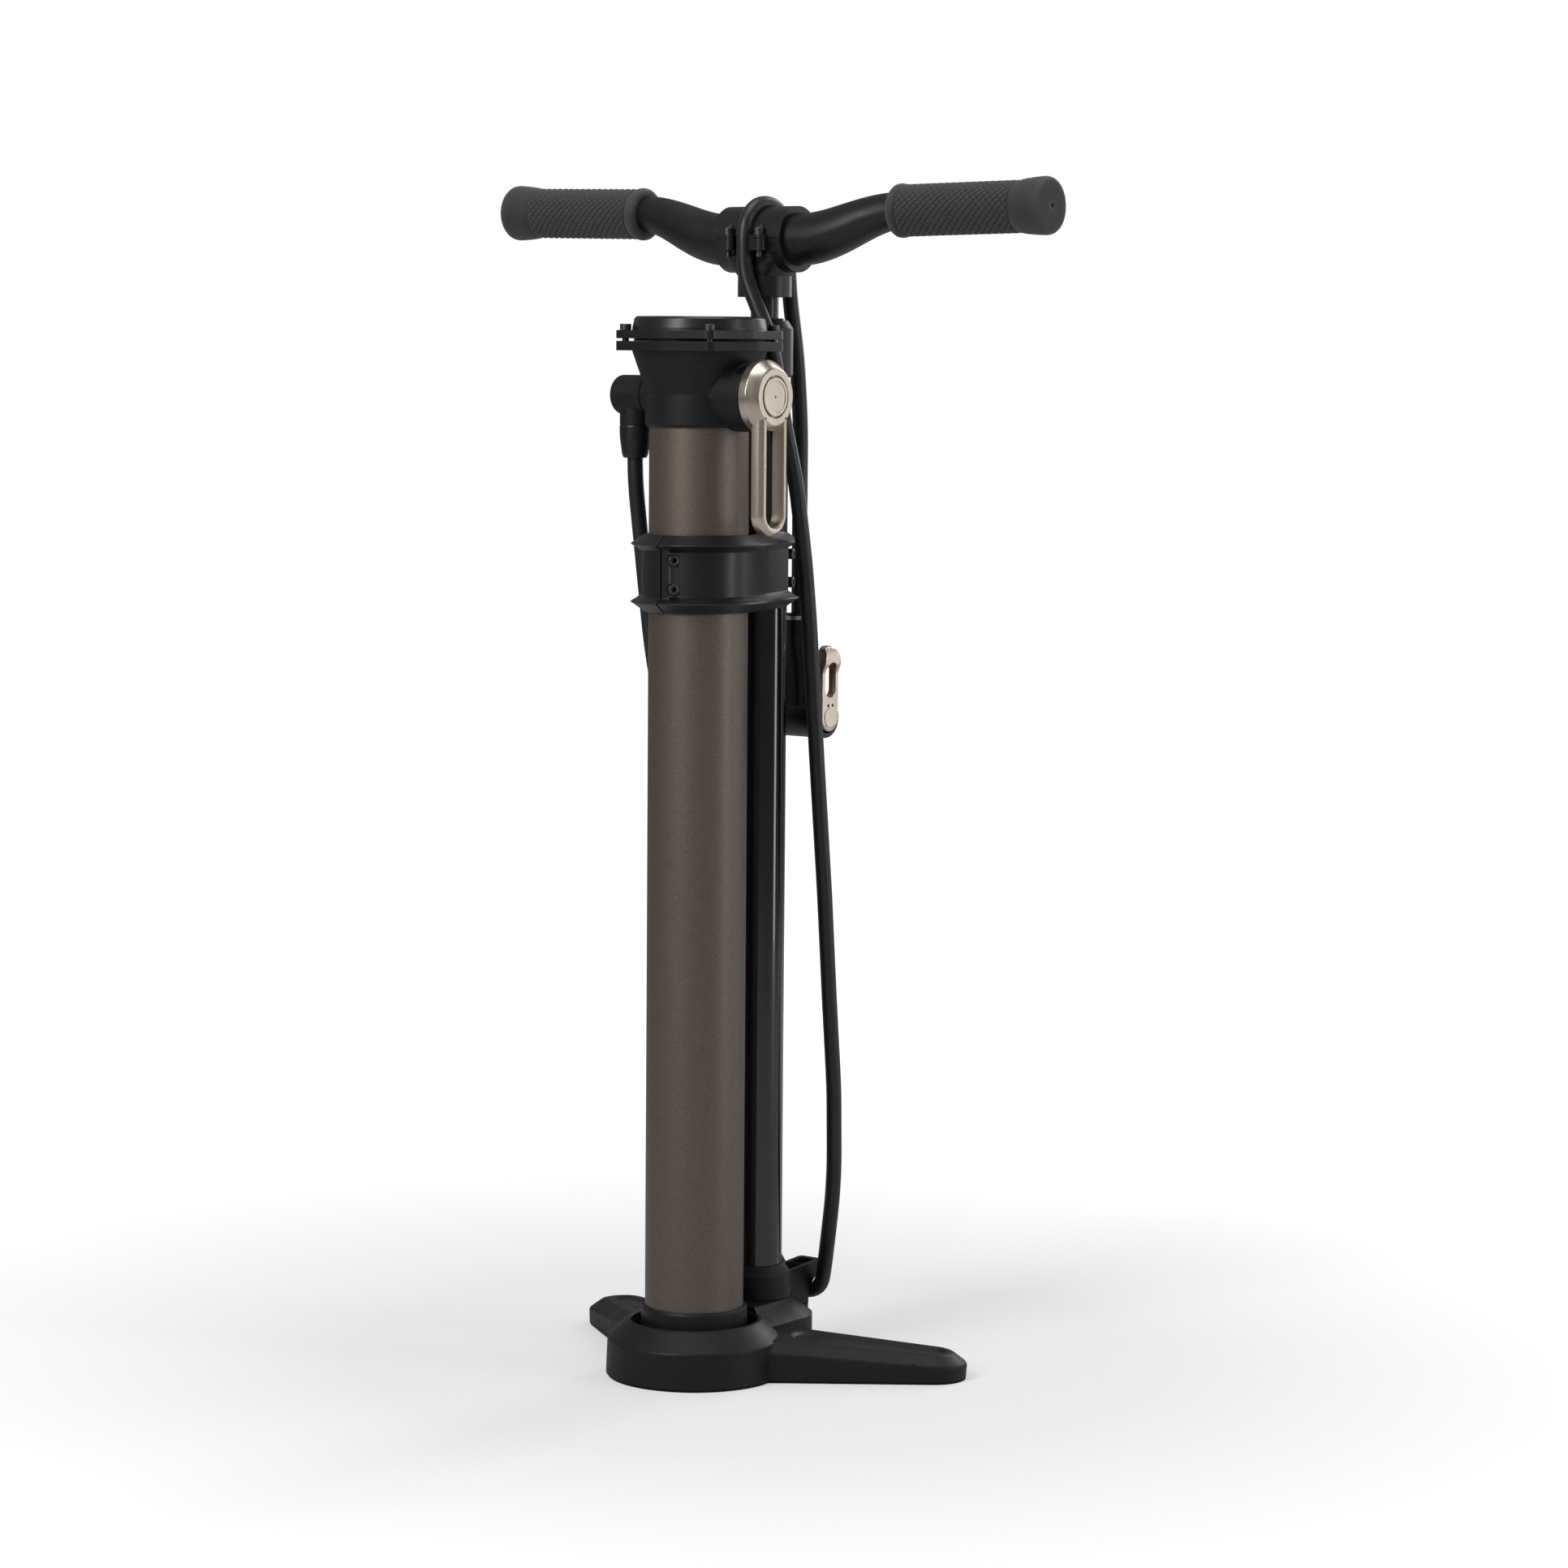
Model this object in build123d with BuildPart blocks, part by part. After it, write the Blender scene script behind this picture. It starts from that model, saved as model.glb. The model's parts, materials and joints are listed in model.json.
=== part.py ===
"""Floor bike pump with an air chamber for seating tubeless tyres.

Frame: origin on the floor under the pump barrel's axis, +Z up, +X to the right-hand grip, +Y to the rear, where the
hose hangs. The chamber stands in front of the barrel, at negative Y. Millimetres.
"""

import os
from math import cos, radians, sin

from build123d import *

os.makedirs("parts", exist_ok=True)

# ---------------------------------------------------------------- driving dimensions
chamber_y = -64.4  # chamber axis, in front of the barrel axis
chamber_r = 30.0
chamber_wall = 1.8
chamber_bottom_z, chamber_top_z = 20.0, 586.0
barrel_r = 15.0
barrel_wall = 1.6
barrel_bottom_z, barrel_top_z = 44.0, 634.0
gallery_z = 19.2  # air gallery from the barrel to the chamber
gallery_r = 1.8
rod_r = 8.5
rod_wall = 1.5
rod_bottom_z, rod_top_z = 78.0, 673.9
stem_bottom_z = 655.2
bar_z = 690.0
bar_r = 15.9
grip_bar_r = 11.1
boss_end = 44.2  # face of the selector boss
lever_back, lever_front = 44.7, 57.2
valve_z = 595.6  # axis of the selector valve and of the hose port
elbow_x = -49.0  # downward leg of the hose elbow
elbow_bottom_z = 577.4
clamp_low_z, clamp_high_z = 466.5, 513.0
hose_r, hose_bore_r = 4.75, 3.0
head_y = 37.6  # parked head, behind the barrel
chuck_z = 397.0
hinge_x = 20.4  # pin of the head lever
gauge_bolt_r = 44.6
pad_z = 1.5  # the rubber sole lifts the base by this much


# ---------------------------------------------------------------- planes, axes and spots
def level(z):
    """Horizontal plane facing up."""
    return Plane.XY.offset(z)


def across(x):
    """Plane facing right, with (y, z) coordinates."""
    return Plane.YZ.offset(x)


def facing_right(x, y, z=0.0):
    """Plane facing right, with (y, z) coordinates measured from its origin."""
    return Plane(origin=(x, y, z), x_dir=(0, 1, 0), z_dir=(1, 0, 0))


def facing_front(y, x=0.0):
    """Upright plane facing the front, with (x, z) coordinates measured from its origin."""
    return Plane(origin=(x, y, 0), x_dir=(1, 0, 0), z_dir=(0, -1, 0))


def polar_spots(centre, radius, count, start_angle):
    """Evenly spaced places on a circle, each turned to its own angle."""
    shift = Location((*centre, 0))
    return [shift * spot for spot in PolarLocations(radius, count, start_angle=start_angle)]


def corner_spots(x, y):
    return [(x, -y), (-x, -y), (x, y), (-x, y)]


chamber_xz = facing_front(chamber_y)
barrel_xz = facing_front(0)
head_xz = facing_front(head_y)
chamber_axis = Axis((0, chamber_y, 0), (0, 0, 1))
barrel_axis = Axis((0, 0, 0), (0, 0, 1))
valve_axis = Axis((0, chamber_y, valve_z), (1, 0, 0))
head_axis = Axis((0, head_y, 0), (0, 0, 1))
chuck_axis = Axis((0, head_y, chuck_z), (1, 0, 0))

barrel_spot = (0, 0)  # in plan
chamber_spot = (0, chamber_y)  # in plan
head_spot = (0, head_y)  # in plan
valve_spot = (chamber_y, valve_z)  # seen from the side
chuck_spot = (head_y, chuck_z)  # seen from the side
plug_screw_spots = polar_spots(chamber_spot, 14.0, 3, 90)
foot_screw_spots = polar_spots(barrel_spot, 12.0, 3, 30)
gauge_bolt_spots = polar_spots(chamber_spot, gauge_bolt_r, 4, 45)


# ---------------------------------------------------------------- shared helpers
# A sketch built in a helper does not join the caller's part, so these hand it to the operation themselves.
def save(builder, name):
    builder.part.label = name
    export_step(builder.part, f"parts/{name}.step")


def try_fillet(edges, radius):
    """Fillets inside the current builder, and tries smaller radii before leaving the edge sharp."""
    for r in (radius, radius * 0.7, radius * 0.45):
        # guards against a radius that the neighbouring faces leave no room for
        try:
            fillet(edges, r)
            return
        except Exception:
            continue


def post(plane, radius, length, *spots, mode=Mode.ADD):
    """Round posts on a plane, added to the current part."""
    with BuildSketch(plane) as discs:
        with Locations(*spots):
            Circle(radius)
    extrude(discs.sketch, amount=length, mode=mode)


def drill(plane, radius, depth, *spots):
    """Round holes from a plane along its normal, or against it when the depth is negative."""
    post(plane, radius, depth, *spots, mode=Mode.SUBTRACT)


def turn(plane, axis, outline):
    """Revolves an open list of points, closed back to its first, into the current part."""
    with BuildSketch(plane) as section:
        with BuildLine():
            Polyline(*outline, outline[0])
        make_face()
    revolve(section.sketch, axis=axis)


def about(z, outline):
    """Puts an outline of (x, radius) round a horizontal axis at height z."""
    return [(x, z + radius) for x, radius in outline]


def save_turned(name, plane, axis, outline):
    with BuildPart() as piece:
        turn(plane, axis, outline)
    save(piece, name)


def save_seals(name, plane, axis, section_r, *centres):
    """Saves O-rings, one for each centre of a section."""
    with BuildPart() as seals:
        with BuildSketch(plane):
            with Locations(*centres):
                Circle(section_r)
        revolve(axis=axis)
    save(seals, name)


def save_tube(name, centre, radius, wall, bottom_z, top_z):
    with BuildPart() as tube:
        with BuildSketch(level(bottom_z)):
            with Locations(centre):
                Circle(radius)
                Circle(radius - wall, mode=Mode.SUBTRACT)
        extrude(amount=top_z - bottom_z)
    save(tube, name)


def save_socket_screws(name, plane_at, axis, spots, shank, head, rounding, socket):
    """Saves hex-socket screws; shank, head and socket are each (start, radius, length)."""
    with BuildPart() as screws:
        for start, radius, length in (shank, head):
            post(plane_at(start), radius, length, *spots)
        try_fillet(screws.edges().group_by(axis)[-1], rounding)
        socket_start, socket_r, socket_length = socket
        with BuildSketch(plane_at(socket_start)):
            with Locations(*spots):
                RegularPolygon(socket_r, 6)
        extrude(amount=socket_length, mode=Mode.SUBTRACT)
    save(screws, name)


def full_circles(*circles):
    """Draws circles of (x, y, radius) in the current line builder."""
    for x, y, radius in circles:
        CenterArc((x, y), radius, 0, 360)


def arc_band(outer_r, inner_r, start_angle, sweep_angle):
    """Draws a sector of a ring round the valve axis in the current line builder."""
    outer = CenterArc(valve_spot, outer_r, start_angle, sweep_angle)
    inner = CenterArc(valve_spot, inner_r, start_angle, sweep_angle)
    Line(outer @ 0, inner @ 0)
    Line(outer @ 1, inner @ 1)


def pedestal_outline(half_width, half_depth, front_length):
    """Draws an ellipse squared off towards the chamber in the current sketch."""
    Ellipse(half_width, half_depth)
    with Locations((0, -front_length / 2)):
        Rectangle(2 * half_width, front_length)


# ---------------------------------------------------------------- base: ring, pedestal and two wings
wing_tip = (121.5, 17.0)
wing_angle = 30.0  # direction of a wing's centreline in plan
wing_tilt = 4.5  # the wing falls towards its tip
wing_length = 100.0
tip_r, root_r = 21.0, 31.0
tip_crease_z = 11.0
plateau_height = 6.0  # top of the wing above its crease
plateau_inset = 9.0
wing_drop = 30.0  # reaches well below the floor, where it is trimmed off
wing_plane = Plane(
    origin=(*wing_tip, tip_crease_z),
    x_dir=(
        cos(radians(wing_angle)) * cos(radians(wing_tilt)),
        sin(radians(wing_angle)) * cos(radians(wing_tilt)),
        -sin(radians(wing_tilt)),
    ),
    z_dir=(
        cos(radians(wing_angle)) * sin(radians(wing_tilt)),
        sin(radians(wing_angle)) * sin(radians(wing_tilt)),
        cos(radians(wing_tilt)),
    ),
)


def edges_at_height(builder, height):
    """Edges whose middle lies at a height above the wing plane."""
    return [
        e for e in builder.edges() if abs(wing_plane.to_local_coords(e @ 0.5).Z - height) < 0.05
    ]


with BuildPart() as right_wing:
    with BuildSketch(wing_plane):
        with BuildLine():
            full_circles((0, 0, tip_r), (-wing_length, 0, root_r))
        make_hull()
    extrude(amount=-wing_drop)
    for height, inset in ((0, 0), (plateau_height, plateau_inset)):
        with BuildSketch(wing_plane.offset(height)):
            with BuildLine():
                full_circles((0, 0, tip_r - inset), (-wing_length, 0, root_r - inset))
            make_hull()
    loft(ruled=True)
    try_fillet(edges_at_height(right_wing, 0), 3.0)
    try_fillet(edges_at_height(right_wing, plateau_height), 5.0)
    # shallow tread recess on top
    with BuildSketch(wing_plane.offset(plateau_height)):
        with BuildLine():
            full_circles((0, 0, tip_r - 13.0), (-74, 0, root_r - 17.0))
        make_hull()
    extrude(amount=-1.5, taper=60, mode=Mode.SUBTRACT)
    # hollow underside
    with BuildSketch(wing_plane.offset(0.4)):
        with BuildLine():
            full_circles((0, 0, tip_r - 4.0), (-52, 0, root_r - 9.0))
        make_hull()
    extrude(amount=-wing_drop, mode=Mode.SUBTRACT)
    # stiffening ribs in the hollow
    rib_width = 2.4
    with BuildSketch(wing_plane.offset(1.0)):
        with Locations((-10, 0), (-30, 0), (-50, 0)):
            Rectangle(rib_width, 44)
        with Locations((-32, 0)):
            Rectangle(66, rib_width)
    extrude(amount=-wing_drop)

with BuildPart() as left_wing:
    add(right_wing.part)
    mirror(about=Plane.YZ, mode=Mode.REPLACE)

pedestal_half_width, pedestal_half_depth = 35.5, 31.5
pedestal_front = 46.0
pedestal_shoulder_z, pedestal_top_z = 28.0, 38.0
ring_shoulder_z = 22.9
# section of the ring round the chamber: (radius, z)
ring_outline = [
    (0, 0), (53.4, 0), (53.6, 2.2), (52.8, ring_shoulder_z), (41.2, 34.4), (39.6, 34.8),
    (38.6, 33.6), (38.2, 22.0), (0, 22.0),
]

with BuildPart() as base:
    add(right_wing.part)
    add(left_wing.part)
    # pedestal under the barrel, with a sloping roof
    with BuildSketch(Plane.XY):
        pedestal_outline(pedestal_half_width, pedestal_half_depth, pedestal_front)
    extrude(amount=pedestal_shoulder_z)
    with BuildSketch(level(pedestal_shoulder_z)):
        pedestal_outline(pedestal_half_width, pedestal_half_depth, pedestal_front)
    with BuildSketch(level(pedestal_top_z)):
        pedestal_outline(21.5, 21.6, pedestal_front)
    loft(ruled=True)
    # neck of the hose hook, rising from the pedestal's rear
    with BuildSketch(Plane.XY):
        with Locations((0, 30)):
            RectangleRounded(17, 29, 4)
    extrude(amount=26.5)
    # clear the chamber side, then raise the ring there
    drill(level(-5), 39.0, 60, chamber_spot)
    turn(chamber_xz, chamber_axis, ring_outline)
    ring_rim = [
        e
        for e in base.edges().filter_by(GeomType.CIRCLE)
        if abs(e.arc_center.X) < 0.01
        and abs(e.arc_center.Y - chamber_y) < 0.01
        and abs(e.arc_center.Z - ring_shoulder_z) < 0.05
        and e.radius > 50
    ]
    try_fillet(ring_rim, 1.6)
    # everything below the underside goes
    with BuildSketch(level(pad_z)):
        Rectangle(500, 500)
    extrude(amount=-60, mode=Mode.SUBTRACT)
    # hollow under the ring and under the pedestal
    with BuildSketch(Plane.XY):
        with Locations(chamber_spot):
            Circle(41.0)
            Circle(24.5, mode=Mode.SUBTRACT)
    extrude(amount=9.0, mode=Mode.SUBTRACT)
    drill(Plane.XY, 21.0, 6.0, chamber_spot)
    with BuildSketch(Plane.XY):
        pedestal_outline(29.0, 20.0, 18.0)
    extrude(amount=16.0, mode=Mode.SUBTRACT)
    # seat of the chamber's end plug and seat of the barrel foot
    drill(level(14.0), 32.6, 20.0, chamber_spot)
    drill(level(24.0), 18.1, 30.0, barrel_spot)
    # air gallery from the barrel to the chamber
    drill(facing_front(0), gallery_r, 34.0, (0, gallery_z))
    drill(level(gallery_z), 3.0, 10.0, barrel_spot)
    # screw holes from below
    drill(Plane.XY, 2.2, 30.0, *plug_screw_spots, *foot_screw_spots)
save(base, "base")

# thin rubber sole under the whole base, set in from its edge and pierced for the screws
sole_inset = 0.9
sole_thickness = pad_z - 0.05
wing_root = (
    wing_tip[0] - wing_length * cos(radians(wing_angle)),
    wing_tip[1] - wing_length * sin(radians(wing_angle)),
)
with BuildPart() as floor_sole:
    for side in (1, -1):
        with BuildSketch(Plane.XY):
            with BuildLine():
                full_circles(
                    (side * wing_tip[0], wing_tip[1], tip_r - sole_inset),
                    (side * wing_root[0], wing_root[1], root_r - sole_inset),
                )
            make_hull()
        extrude(amount=sole_thickness)
    with BuildSketch(Plane.XY):
        with Locations(chamber_spot):
            Circle(52.4)
        pedestal_outline(
            pedestal_half_width - sole_inset, pedestal_half_depth - sole_inset, pedestal_front
        )
        with Locations((0, 30)):
            RectangleRounded(15.4, 27.4, 3.2)
    extrude(amount=sole_thickness)
    drill(Plane.XY, 4.9, 5.0, *plug_screw_spots)
    drill(Plane.XY, 4.7, 5.0, *foot_screw_spots)
save(floor_sole, "floor_sole")

# ---------------------------------------------------------------- chamber: tube, end plug, seals
save_tube(
    "chamber_tube", chamber_spot, chamber_r, chamber_wall, chamber_bottom_z, chamber_top_z
)

plug_bottom_z = 14.1
# (radius, z)
plug_outline = [
    (0, plug_bottom_z), (32.5, plug_bottom_z), (32.5, 41.8), (31.6, 43.3), (30.1, 43.3),
    (30.1, 19.9), (28.1, 19.9), (28.1, 29.0), (26.4, 29.0), (26.4, 32.0), (28.1, 32.0),
    (28.1, 36.0), (22.0, 36.0), (22.0, 22.0), (0, 22.0),
]
with BuildPart() as chamber_plug:
    turn(chamber_xz, chamber_axis, plug_outline)
    # blind threads for the screws, and inlet from the base's air gallery
    drill(level(plug_bottom_z), 2.1, 6.0, *plug_screw_spots)
    drill(facing_front(-22.0), gallery_r, 24.0, (0, gallery_z))
    drill(level(gallery_z), gallery_r, 8.0, (0, chamber_y + 20.0))
save(chamber_plug, "chamber_plug")

save_seals("chamber_seals", chamber_xz, chamber_axis, 0.85, (27.28, 30.5), (27.28, 577.0))

# ---------------------------------------------------------------- barrel: tube, foot with hose hook, check valve, top cap
save_tube("barrel_tube", barrel_spot, barrel_r, barrel_wall, barrel_bottom_z, barrel_top_z)

# (radius, z)
foot_outline = [
    (0, 24.1), (18.0, 24.1), (18.0, 38.1), (20.6, 38.1), (20.2, 52.5), (16.6, 58.6),
    (15.1, 58.6), (15.1, 43.9), (13.2, 43.9), (13.2, 47.0), (11.7, 47.0), (11.7, 49.6),
    (13.2, 49.6), (13.2, 52.0), (10.0, 52.0), (0, 52.0),
]
hook_half_width = 8.2
# side view of the hook: (y, z)
hook_outline = [
    (17.0, 38.2), (22.1, 38.2), (32.1, 28.3), (32.1, 26.6), (44.4, 26.6), (44.4, 33.0),
    (46.0, 37.0), (51.0, 41.5), (57.3, 45.5), (56.0, 53.0), (17.0, 50.0), (17.0, 38.2),
]
with BuildPart() as barrel_foot:
    turn(barrel_xz, barrel_axis, foot_outline)
    # hose hook: a flared, hollow lip behind the collar
    with BuildSketch(across(-hook_half_width)):
        with BuildLine():
            Polyline(*hook_outline)
        make_face()
    extrude(amount=2 * hook_half_width)
    rear_edges = [
        e
        for e in barrel_foot.edges()
        if (e @ 0.5).Y > 43.0
        and abs(abs((e @ 0.5).X) - hook_half_width) < 0.01
        and abs((e @ 0).X - (e @ 1).X) < 0.01
    ]
    try_fillet(rear_edges, 2.8)
    # hollow of the hook: (floor z, middle y, length along Y)
    for floor_z, middle_y, length in ((42.0, 36.0, 24.0), (49.0, 37.0, 31.0)):
        with BuildSketch(level(floor_z)):
            with Locations((0, middle_y)):
                RectangleRounded(11.6, length, 3.0)
        extrude(amount=8.0, mode=Mode.SUBTRACT)
    # check valve pocket, then the narrow ways above and below it
    drill(level(30.0), 6.5, 16.0, barrel_spot)
    drill(level(45.0), 3.0, 10.0, barrel_spot)
    drill(level(20.0), 3.0, 12.0, barrel_spot)
    drill(level(24.0), 2.1, 12.0, *foot_screw_spots)
save(barrel_foot, "barrel_foot")

save_seals("barrel_seals", barrel_xz, barrel_axis, 0.78, (12.5, 48.3), (12.5, 623.0))

# (radius, z)
check_valve_outline = [
    (0, 38.6), (2.4, 38.6), (2.4, 42.6), (5.6, 42.6), (5.6, 44.4), (3.8, 45.9), (0, 45.9),
]
save_turned("check_valve", barrel_xz, barrel_axis, check_valve_outline)

with BuildPart() as check_spring:
    with BuildLine():
        coil = Helix(pitch=2.3, height=11.2, radius=4.0, center=(0, 0, 30.6))
    with BuildSketch(Plane(coil @ 0, z_dir=coil % 0)):
        Circle(0.4)
    sweep(path=coil, is_frenet=True)
save(check_spring, "check_spring")

# (radius, z)
barrel_cap_outline = [
    (15.05, 606.7), (17.0, 606.7), (17.6, 608.0), (17.6, 636.2), (14.6, 641.0), (10.6, 641.0),
    (10.6, 627.0), (11.7, 627.0), (11.7, 624.4), (13.2, 624.4), (13.2, 634.2), (15.05, 634.2),
]
save_turned("barrel_cap", barrel_xz, barrel_axis, barrel_cap_outline)

bush_bore_r = rod_r + 0.06
# (radius, z)
bush_outline = [
    (bush_bore_r, 627.2), (10.5, 627.2), (10.5, 641.1), (11.6, 641.1), (11.6, 642.4),
    (bush_bore_r, 642.4),
]
save_turned("rod_bush", barrel_xz, barrel_axis, bush_outline)

# ---------------------------------------------------------------- gauge housing with selector boss and hose port
boss_r = 21.0
flange_z = 622.3
# outline of the two flanges: four ears and the round body, (x, y, radius)
flange_circles = [
    (
        gauge_bolt_r * cos(radians(angle)),
        chamber_y + gauge_bolt_r * sin(radians(angle)),
        5.6,
    )
    for angle in (45, 135, 225, 315)
] + [(0, chamber_y, 41.2)]
# round neck opening to a rounded-square mouth: (z, width, corner radius)
mouth_sections = [(596.0, 62.4, 31.0), (608.0, 66.4, 27.5), (622.4, 73.0, 26.5)]
# skirt round the top of the chamber tube: (radius, z)
skirt_outline = [
    (0, 577.0), (31.2, 577.0), (32.5, 578.6), (32.5, 594.6), (31.4, 596.3), (0, 596.3),
]
with BuildPart() as gauge_housing:
    for z, width, corner_r in mouth_sections:
        with BuildSketch(level(z)):
            with Locations(chamber_spot):
                RectangleRounded(width, width, corner_r)
    loft(ruled=False)
    # lower flange plate with four ears
    with BuildSketch(level(flange_z)):
        with BuildLine():
            full_circles(*flange_circles)
        make_hull()
    extrude(amount=5.7)
    turn(chamber_xz, chamber_axis, skirt_outline)
    # selector boss on the right and hose port on the left
    post(across(0), boss_r, boss_end, valve_spot)
    post(across(0), 11.6, -37.0, valve_spot)
    # notch that stops the lever at each end of its travel
    with BuildSketch(across(boss_end - 5.5)):
        with BuildLine():
            arc_band(22.5, 17.0, 32.0, 108.0)
        make_face()
    extrude(amount=10.0, mode=Mode.SUBTRACT)
    # socket for the tube
    drill(level(570.0), 30.05, chamber_top_z + 0.1 - 570.0, chamber_spot)
    # stepped gauge well
    drill(level(606.5), 29.0, 30.0, chamber_spot)
    drill(level(617.0), 33.0, 30.0, chamber_spot)
    # valve bore, then the hose port and its wider mouth
    drill(across(-18.0), 7.0, 80.0, valve_spot)
    drill(across(-10.0), 4.0, -40.0, valve_spot)
    drill(across(-26.0), 7.05, -40.0, valve_spot)
    # drilling into the chamber
    drill(level(580.0), 2.5, 40.0, chamber_spot)
    # threads for the gauge bolts
    drill(level(620.0), 2.1, 10.0, *gauge_bolt_spots)
    boss_rim = [
        e
        for e in gauge_housing.edges().filter_by(GeomType.CIRCLE)
        if abs(e.radius - boss_r) < 0.1 and abs(e.arc_center.X - boss_end) < 0.01
    ]
    try_fillet(boss_rim, 0.8)
save(gauge_housing, "gauge_housing")

# ring that carries the upper chamber seal inside the tube: (radius, z)
spigot_outline = [
    (22.0, 573.0), (28.1, 573.0), (28.1, 575.5), (26.35, 575.5), (26.35, 578.5), (28.1, 578.5),
    (28.1, 585.9), (22.0, 585.9),
]
save_turned("upper_spigot", chamber_xz, chamber_axis, spigot_outline)

bezel_z = 629.5
crown_low_z, crown_top_z = 641.4, 642.8
# (radius, z)
bezel_outline = [
    (30.0, bezel_z), (40.6, bezel_z), (40.4, 636.0), (39.2, crown_low_z), (37.6, crown_top_z),
    (34.4, crown_top_z), (33.2, 641.2), (33.2, 640.6), (30.0, 640.6),
]
with BuildPart() as gauge_bezel:
    with BuildSketch(level(bezel_z)):
        with BuildLine():
            full_circles(*flange_circles)
        make_hull()
    extrude(amount=4.9)
    turn(chamber_xz, chamber_axis, bezel_outline)
    # wide bore for the dial, narrower one for the lens
    drill(level(620.0), 33.3, 17.4, chamber_spot)
    drill(level(637.0), 31.4, 10.0, chamber_spot)
    drill(level(620.0), 2.2, 20.0, *gauge_bolt_spots)
    crown = [
        e
        for e in gauge_bezel.edges().filter_by(GeomType.CIRCLE)
        if abs(e.arc_center.Z - crown_low_z) < 0.05
        or (abs(e.arc_center.Z - crown_top_z) < 0.05 and e.radius > 36)
    ]
    try_fillet(crown, 0.9)
save(gauge_bezel, "gauge_bezel")

save_tube("gauge_gasket", chamber_spot, 39.4, 5.8, 628.05, 629.45)

save_socket_screws(
    "gauge_bolts",
    level,
    Axis.Z,
    gauge_bolt_spots,
    shank=(622.6, 2.0, 11.9),
    head=(634.45, 3.4, 3.7),
    rounding=0.5,
    socket=(639.0, 1.7, -2.6),
)

with BuildPart() as gauge_lens:
    post(level(637.45), 31.3, 3.0, chamber_spot)
    try_fillet(gauge_lens.edges().group_by(Axis.Z)[-1], 0.8)
save(gauge_lens, "gauge_lens")

needle_hole_r = 1.6
save_tube("gauge_dial", chamber_spot, 33.2, 33.2 - needle_hole_r, 630.0, 631.2)

# tapered pointer towards the front, and its block-shaped tail: (x, y) from the chamber axis
pointer_outline = [(-2.0, 6.0), (-0.35, -25.5), (0.35, -25.5), (2.0, 6.0)]
tail_outline = [(-2.5, 4.0), (2.5, 4.0), (2.5, 11.5), (-2.5, 11.5)]
with BuildPart() as gauge_needle:
    with BuildSketch(level(633.2)):
        with Locations(chamber_spot):
            Circle(3.4)
            Polygon(*pointer_outline, align=None)
            Polygon(*tail_outline, align=None)
    extrude(amount=0.8)
    post(level(615.0), 1.5, 20.2, chamber_spot)
save(gauge_needle, "gauge_needle")

movement_base_z = 606.6
with BuildPart() as gauge_movement:
    # two plates on a pair of pillars
    for plate_z in (612.0, 626.6):
        with BuildSketch(level(plate_z)):
            with Locations(chamber_spot):
                RectangleRounded(22.0, 16.0, 3.0)
                Circle(needle_hole_r, mode=Mode.SUBTRACT)
        extrude(amount=2.4)
    post(level(movement_base_z), 1.8, 21.0, (-8.5, chamber_y), (8.5, chamber_y))
save(gauge_movement, "gauge_movement")

with BuildPart() as bourdon_tube:
    with BuildLine():
        c_path = CenterArc((0, chamber_y, 617.5), 23.5, -60, 280)
    with BuildSketch(Plane(c_path @ 0, z_dir=c_path % 0, x_dir=(0, 0, 1))):
        RectangleRounded(7.0, 2.6, 1.2)
    sweep(path=c_path)
    # post under the tube's fixed end
    post(level(movement_base_z), 3.2, 14.0, (11.8, chamber_y - 20.4))
save(bourdon_tube, "bourdon_tube")

# ---------------------------------------------------------------- selector valve: lever, centre cap, spool and seals
loop_back = 48.6
loop_chamfer = 2.3
loop_half_width = 13.2
loop_end_z = 526.2  # centre of the loop's rounded lower end
window_half_width = 8.1
window_top_z = 577.2
# (x, radius)
hub_outline = [
    (lever_back, 0), (lever_back, 20.6), (45.8, 21.8), (51.0, 21.8), (56.2, 17.6),
    (lever_front, 16.8), (lever_front, 0),
]
with BuildPart() as selector_lever:
    # loop: an obround plate hanging from the hub, chamfered all round its outer face
    for start, depth, slope in (
        (loop_back, lever_front - loop_chamfer - loop_back, 0),
        (lever_front - loop_chamfer, loop_chamfer, 42),
    ):
        with BuildSketch(facing_right(start, chamber_y)):
            with BuildLine():
                Polyline(
                    (-loop_half_width, loop_end_z),
                    (-loop_half_width, valve_z),
                    (loop_half_width, valve_z),
                    (loop_half_width, loop_end_z),
                )
                ThreePointArc(
                    (loop_half_width, loop_end_z),
                    (0, loop_end_z - loop_half_width),
                    (-loop_half_width, loop_end_z),
                )
            make_face()
        extrude(amount=depth, taper=slope)
    turn(chamber_xz, valve_axis, about(valve_z, hub_outline))
    # window
    with BuildSketch(facing_right(40.0, chamber_y)):
        with BuildLine():
            Polyline((window_half_width, window_top_z), (window_half_width, loop_end_z))
            ThreePointArc(
                (window_half_width, loop_end_z),
                (0, loop_end_z - window_half_width),
                (-window_half_width, loop_end_z),
            )
            Polyline((-window_half_width, loop_end_z), (-window_half_width, window_top_z))
            ThreePointArc(
                (-window_half_width, window_top_z),
                (0, 575.5),
                (window_half_width, window_top_z),
            )
        make_face()
    extrude(amount=30.0, mode=Mode.SUBTRACT)
    # recess for the centre cap, bore for the spool and the index tab
    drill(across(lever_front - 1.6), 12.3, 5.0, valve_spot)
    drill(across(30.0), 5.0, 40.0, valve_spot)
    with BuildSketch(across(boss_end - 3.8)):
        with BuildLine():
            arc_band(20.2, 17.4, 125.0, 13.0)
        make_face()
    extrude(amount=5.0)
save(selector_lever, "selector_lever")

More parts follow.
